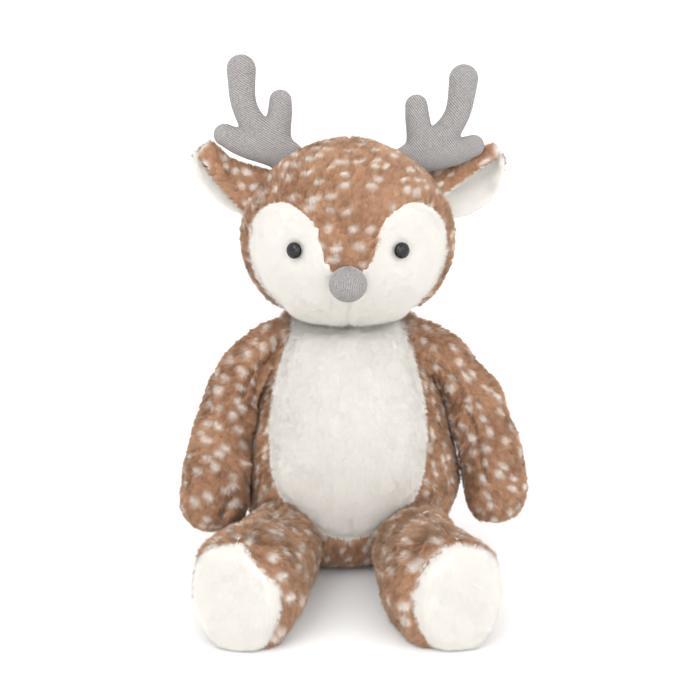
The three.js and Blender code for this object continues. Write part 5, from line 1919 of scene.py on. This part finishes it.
def antler_field(s, sign, inset):
    """How far points (out, up, deep) from an antler's root are outside its surface: the distance to
    each tine's middle line less its half width, the three blended smoothly."""
    flat = s.antler_half_thickness / s.antler_half_width
    lines = []
    for route, widths in TINES:
        place = np.linspace(0, 1, 60)
        out, up = row_at(route, place).T
        out, up = out * s.antler_reach, up * s.antler_height
        if sign > 0 and route is INNER_TINE:
            out = out - s.tine_shift * place
        lean = s.antler_lean if sign > 0 else 0.0
        out, up = out * math.cos(lean) + up * math.sin(lean), up * math.cos(lean) - out * math.sin(lean)
        lines.append((out, up, s.antler_half_width * row_at(widths, place)[:, 0] - inset))

    def field(out, up, deep):
        found = []
        for lx, lz, half in lines:
            d = (out[..., None] - lx) ** 2 + (up[..., None] - lz) ** 2
            near = np.argmin(d, axis=-1)
            r = half[near]
            thin = flat * (r + inset) - inset
            flat_gone = np.take_along_axis(d, near[..., None], -1)[..., 0]
            found.append(np.sqrt(flat_gone + (deep * r / thin) ** 2) - r)
        return -TINE_BLEND * np.log(np.sum(np.exp(-np.stack(found) / TINE_BLEND), axis=0))

    return field


def antler_half(s, sign, facing, inset, step):
    """One half of an antler: a grid over its outline whose outer points are drawn onto the outline,
    raised to where the field is zero."""
    field = antler_field(s, sign, inset)
    root = antler_root(s, sign)
    pad = 1.5 * s.antler_half_width
    out = np.arange(-pad, s.antler_reach + 1.6 * pad, step)
    up = np.arange(-pad, s.antler_height + pad, step)
    o, u = np.meshgrid(out, up, indexing="ij")
    inside = field(o, u, np.zeros_like(o)) < -1e-5
    grown = inside.copy()
    for axis in (0, 1):
        grown |= np.roll(grown, 1, axis) | np.roll(grown, -1, axis)
    rim = grown & ~inside
    ro, ru = o[rim], u[rim]
    for _ in range(6):
        f = field(ro, ru, np.zeros_like(ro))
        h = 1e-5
        go = (field(ro + h, ru, 0 * ro) - f) / h
        gu = (field(ro, ru + h, 0 * ro) - f) / h
        g = np.maximum(go * go + gu * gu, 0.05)
        ro, ru = ro - f * go / g, ru - f * gu / g
    o[rim], u[rim] = ro, ru
    io, iu = o[inside], u[inside]
    low, high = np.zeros_like(io), np.full_like(io, 2 * s.antler_half_width)
    for _ in range(26):
        half = (low + high) / 2
        within = field(io, iu, half) < 0
        low, high = np.where(within, half, low), np.where(within, high, half)
    deep = np.zeros_like(o)
    deep[inside] = low
    i, j = np.meshgrid(np.arange(len(out) - 1), np.arange(len(up) - 1), indexing="ij")
    here, after = i * len(up) + j, (i + 1) * len(up) + j
    quads = np.stack([here, after, after + 1, here + 1], axis=-1).reshape(-1, 4)
    ok, own = grown.ravel(), inside.ravel()
    quads = quads[ok[quads].all(axis=1) & own[quads].any(axis=1)]
    used, at = np.unique(quads, return_inverse=True)
    faces = at.reshape(quads.shape)
    o, u, deep = o.ravel()[used], u.ravel()[used], deep.ravel()[used]
    h = 2e-5
    across = field(o + h, u, deep) - field(o - h, u, deep)
    through = (field(o, u, deep + h) - field(o, u, np.maximum(deep - h, 0))) * np.where(deep > h, 1, 0)
    upward = field(o, u + h, deep) - field(o, u - h, deep)
    normals = unit(np.stack([sign * across, facing * through, upward], axis=-1))
    points = root + np.stack([sign * o, facing * deep, u], axis=-1)
    if sign * facing > 0:
        faces = faces[:, ::-1]
    return points, normals, faces, own[used]


class DEER_OT_antlers(bpy.types.Operator):
    """Makes both antlers: ribbed grey knit in a front and a back half, and their stuffing"""

    bl_idname = "deer.antlers"
    bl_label = "Antlers"

    def execute(self, context):
        s, pile, _ = groups()
        for label, sign in SIDES.items():
            root = antler_root(s, sign)
            for side, facing in (("front", -1), ("back", 1)):
                p, n, faces, own = antler_half(s, sign, facing, KNIT_INSET, KNIT_STEP)
                local = p - root
                turn = math.radians(RIB_SLOPES[sign])
                slant = math.cos(turn) * local[:, 0] + math.sin(turn) * local[:, 2]
                slant = slant + RIB_SWAY * waves(local, 0.03, 70)
                along = math.sin(turn) * local[:, 0] - math.cos(turn) * local[:, 2]
                rib, stitch = knitted(slant, along, pile)
                p = p + n * (ANTLER_RELIEF[0] * rib + ANTLER_RELIEF[1] * stitch)[:, None] * own[:, None]
                # Painted light on the crests of the ribs and stitches, painted shade in their hollows
                light = np.clip(0.52 + 0.42 * rib + 0.2 * stitch, 0, 1)
                keep = ~in_head(s, p, -KNIT_SUNK)
                faces = faces[keep[faces].all(axis=1)]
                used, at = np.unique(faces, return_inverse=True)
                name, fields = f"antler_knit_{side}_{label}", {"light": light[used]}
                half = mesh_object(name, p[used], at.reshape(faces.shape), fields, lean=n[used])
                dressed(half, "knit_cover", f"antler_{label}", "grey_knit", f"antler_{side}_{label}")
            front, _, front_faces, _ = antler_half(s, sign, -1, CORE_INSET, CORE_STEP)
            back, _, back_faces, _ = antler_half(s, sign, 1, CORE_INSET, CORE_STEP)
            points = np.concatenate([front, back])
            faces = np.concatenate([front_faces, back_faces + len(front)])
            core = mesh_object(f"antler_filling_{label}", points, faces)
            weld = core.modifiers.new("weld", "WELD")
            weld.merge_threshold = 0.0002
            dressed(core, "wadding", f"antler_{label}", "stuffing", f"antler_stuffing_{label}")
        return {"FINISHED"}


# Stage


# The camera that fits the photo, in metres, degrees and pixels of its 700 by 700 frame
CAMERA = {"distance": 1.0, "height": 0.140, "elevation": 14.0}
FRAME_PX = 700
FOCAL_PX = 1515.0
CENTRE_PX = (348.0, 350.0)
SENSOR = 36
FLOOR_REACH = 40.0
# Each lamp's name, place, power and width
LAMPS = (
    ("key", (-1.2, -2.2, 2.4), 30.0, 1.8),
    ("fill", (1.9, -1.9, 1.4), 13.0, 2.0),
    ("front", (0.2, -3.0, 0.7), 31.0, 2.4),
)
LAMP_TARGET = (0, 0, 0.15)
SKY_STRENGTH = 1.39


class DEER_OT_stage(bpy.types.Operator):
    """Makes the pale floor, the soft lights and the camera"""

    bl_idname = "deer.stage"
    bl_label = "Stage"

    def execute(self, context):
        scene = context.scene
        _, _, c = groups()
        data = bpy.data.meshes.new("floor")
        corners = [(x * FLOOR_REACH, y * FLOOR_REACH, 0) for x, y in ((-1, -1), (1, -1), (1, 1), (-1, 1))]
        data.from_pydata(corners, [], [(0, 1, 2, 3)])
        floor = bpy.data.objects.new("floor", data)
        scene.collection.objects.link(floor)
        made, tree, shader = node_material("floor_paint")
        speckle = object_noise(tree, 3, 2)
        colour = mixed(tree, speckle, darker(c.floor, 0.99), tuple(c.floor))
        tree.links.new(colour, shader.inputs["Base Color"])
        finished(shader, 0.9, 0.0)
        data.materials.append(made)
        world = bpy.data.worlds.new("studio")
        world.use_nodes = True
        world.node_tree.nodes["Background"].inputs[0].default_value = (1, 1, 1, 1)
        world.node_tree.nodes["Background"].inputs[1].default_value = SKY_STRENGTH
        scene.world = world
        for name, place, power, wide in LAMPS:
            lamp = bpy.data.lights.new(name, "AREA")
            lamp.energy, lamp.size = power, wide
            held = bpy.data.objects.new(name, lamp)
            held.location = place
            held.rotation_mode = "QUATERNION"
            held.rotation_quaternion = (Vector(LAMP_TARGET) - Vector(place)).to_track_quat("-Z", "Y")
            scene.collection.objects.link(held)
        camera = bpy.data.cameras.new("camera")
        camera.sensor_width = SENSOR
        camera.lens = SENSOR * FOCAL_PX / FRAME_PX
        camera.shift_x = (FRAME_PX / 2 - CENTRE_PX[0]) / FRAME_PX
        camera.shift_y = (CENTRE_PX[1] - FRAME_PX / 2) / FRAME_PX
        camera.clip_end = 200
        held = bpy.data.objects.new("camera", camera)
        e = math.radians(CAMERA["elevation"])
        target = Vector((0, 0, CAMERA["height"]))
        held.location = target + Vector((0, -math.cos(e), math.sin(e))) * CAMERA["distance"]
        held.rotation_mode = "QUATERNION"
        held.rotation_quaternion = (target - held.location).to_track_quat("-Z", "Y")
        scene.collection.objects.link(held)
        scene.camera = held
        scene.view_settings.view_transform = "Standard"
        return {"FINISHED"}


class DEER_PT_sidebar(bpy.types.Panel):
    """Lists the deer's pieces and their sizes"""

    bl_label = "Plush Deer"
    bl_idname = "DEER_PT_sidebar"
    bl_space_type = "VIEW_3D"
    bl_region_type = "UI"
    bl_category = "Deer"

    def draw(self, context):
        layout = self.layout
        for step in OPERATORS:
            layout.operator(step.bl_idname)
        for group in (context.scene.deer_pile, context.scene.deer_colours, context.scene.deer_sizes):
            box = layout.box()
            for key in type(group).__annotations__:
                box.prop(group, key)


OPERATORS = (
    DEER_OT_stage,
    DEER_OT_torso,
    DEER_OT_head,
    DEER_OT_face,
    DEER_OT_ears,
    DEER_OT_antlers,
    DEER_OT_arms,
    DEER_OT_legs,
    DEER_OT_tail,
)
CLASSES = (DeerSizes, DeerPile, DeerColours, *OPERATORS, DEER_PT_sidebar)


def register():
    for made in CLASSES:
        bpy.utils.register_class(made)
    bpy.types.Scene.deer_sizes = bpy.props.PointerProperty(type=DeerSizes)
    bpy.types.Scene.deer_pile = bpy.props.PointerProperty(type=DeerPile)
    bpy.types.Scene.deer_colours = bpy.props.PointerProperty(type=DeerColours)


def unregister():
    for key in ("deer_sizes", "deer_pile", "deer_colours"):
        delattr(bpy.types.Scene, key)
    for made in reversed(CLASSES):
        bpy.utils.unregister_class(made)


def main():
    """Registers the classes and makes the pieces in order."""
    register()
    for step in OPERATORS:
        group, name = step.bl_idname.split(".")
        getattr(getattr(bpy.ops, group), name)()
    # The washers' solids show as they are and only get their finish
    for label in SIDES:
        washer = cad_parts[f"eye_washer_{label}"]
        washer.data.materials.clear()
        washer.data.materials.append(material("washer_moulding"))


if __name__ == "__main__":
    main()
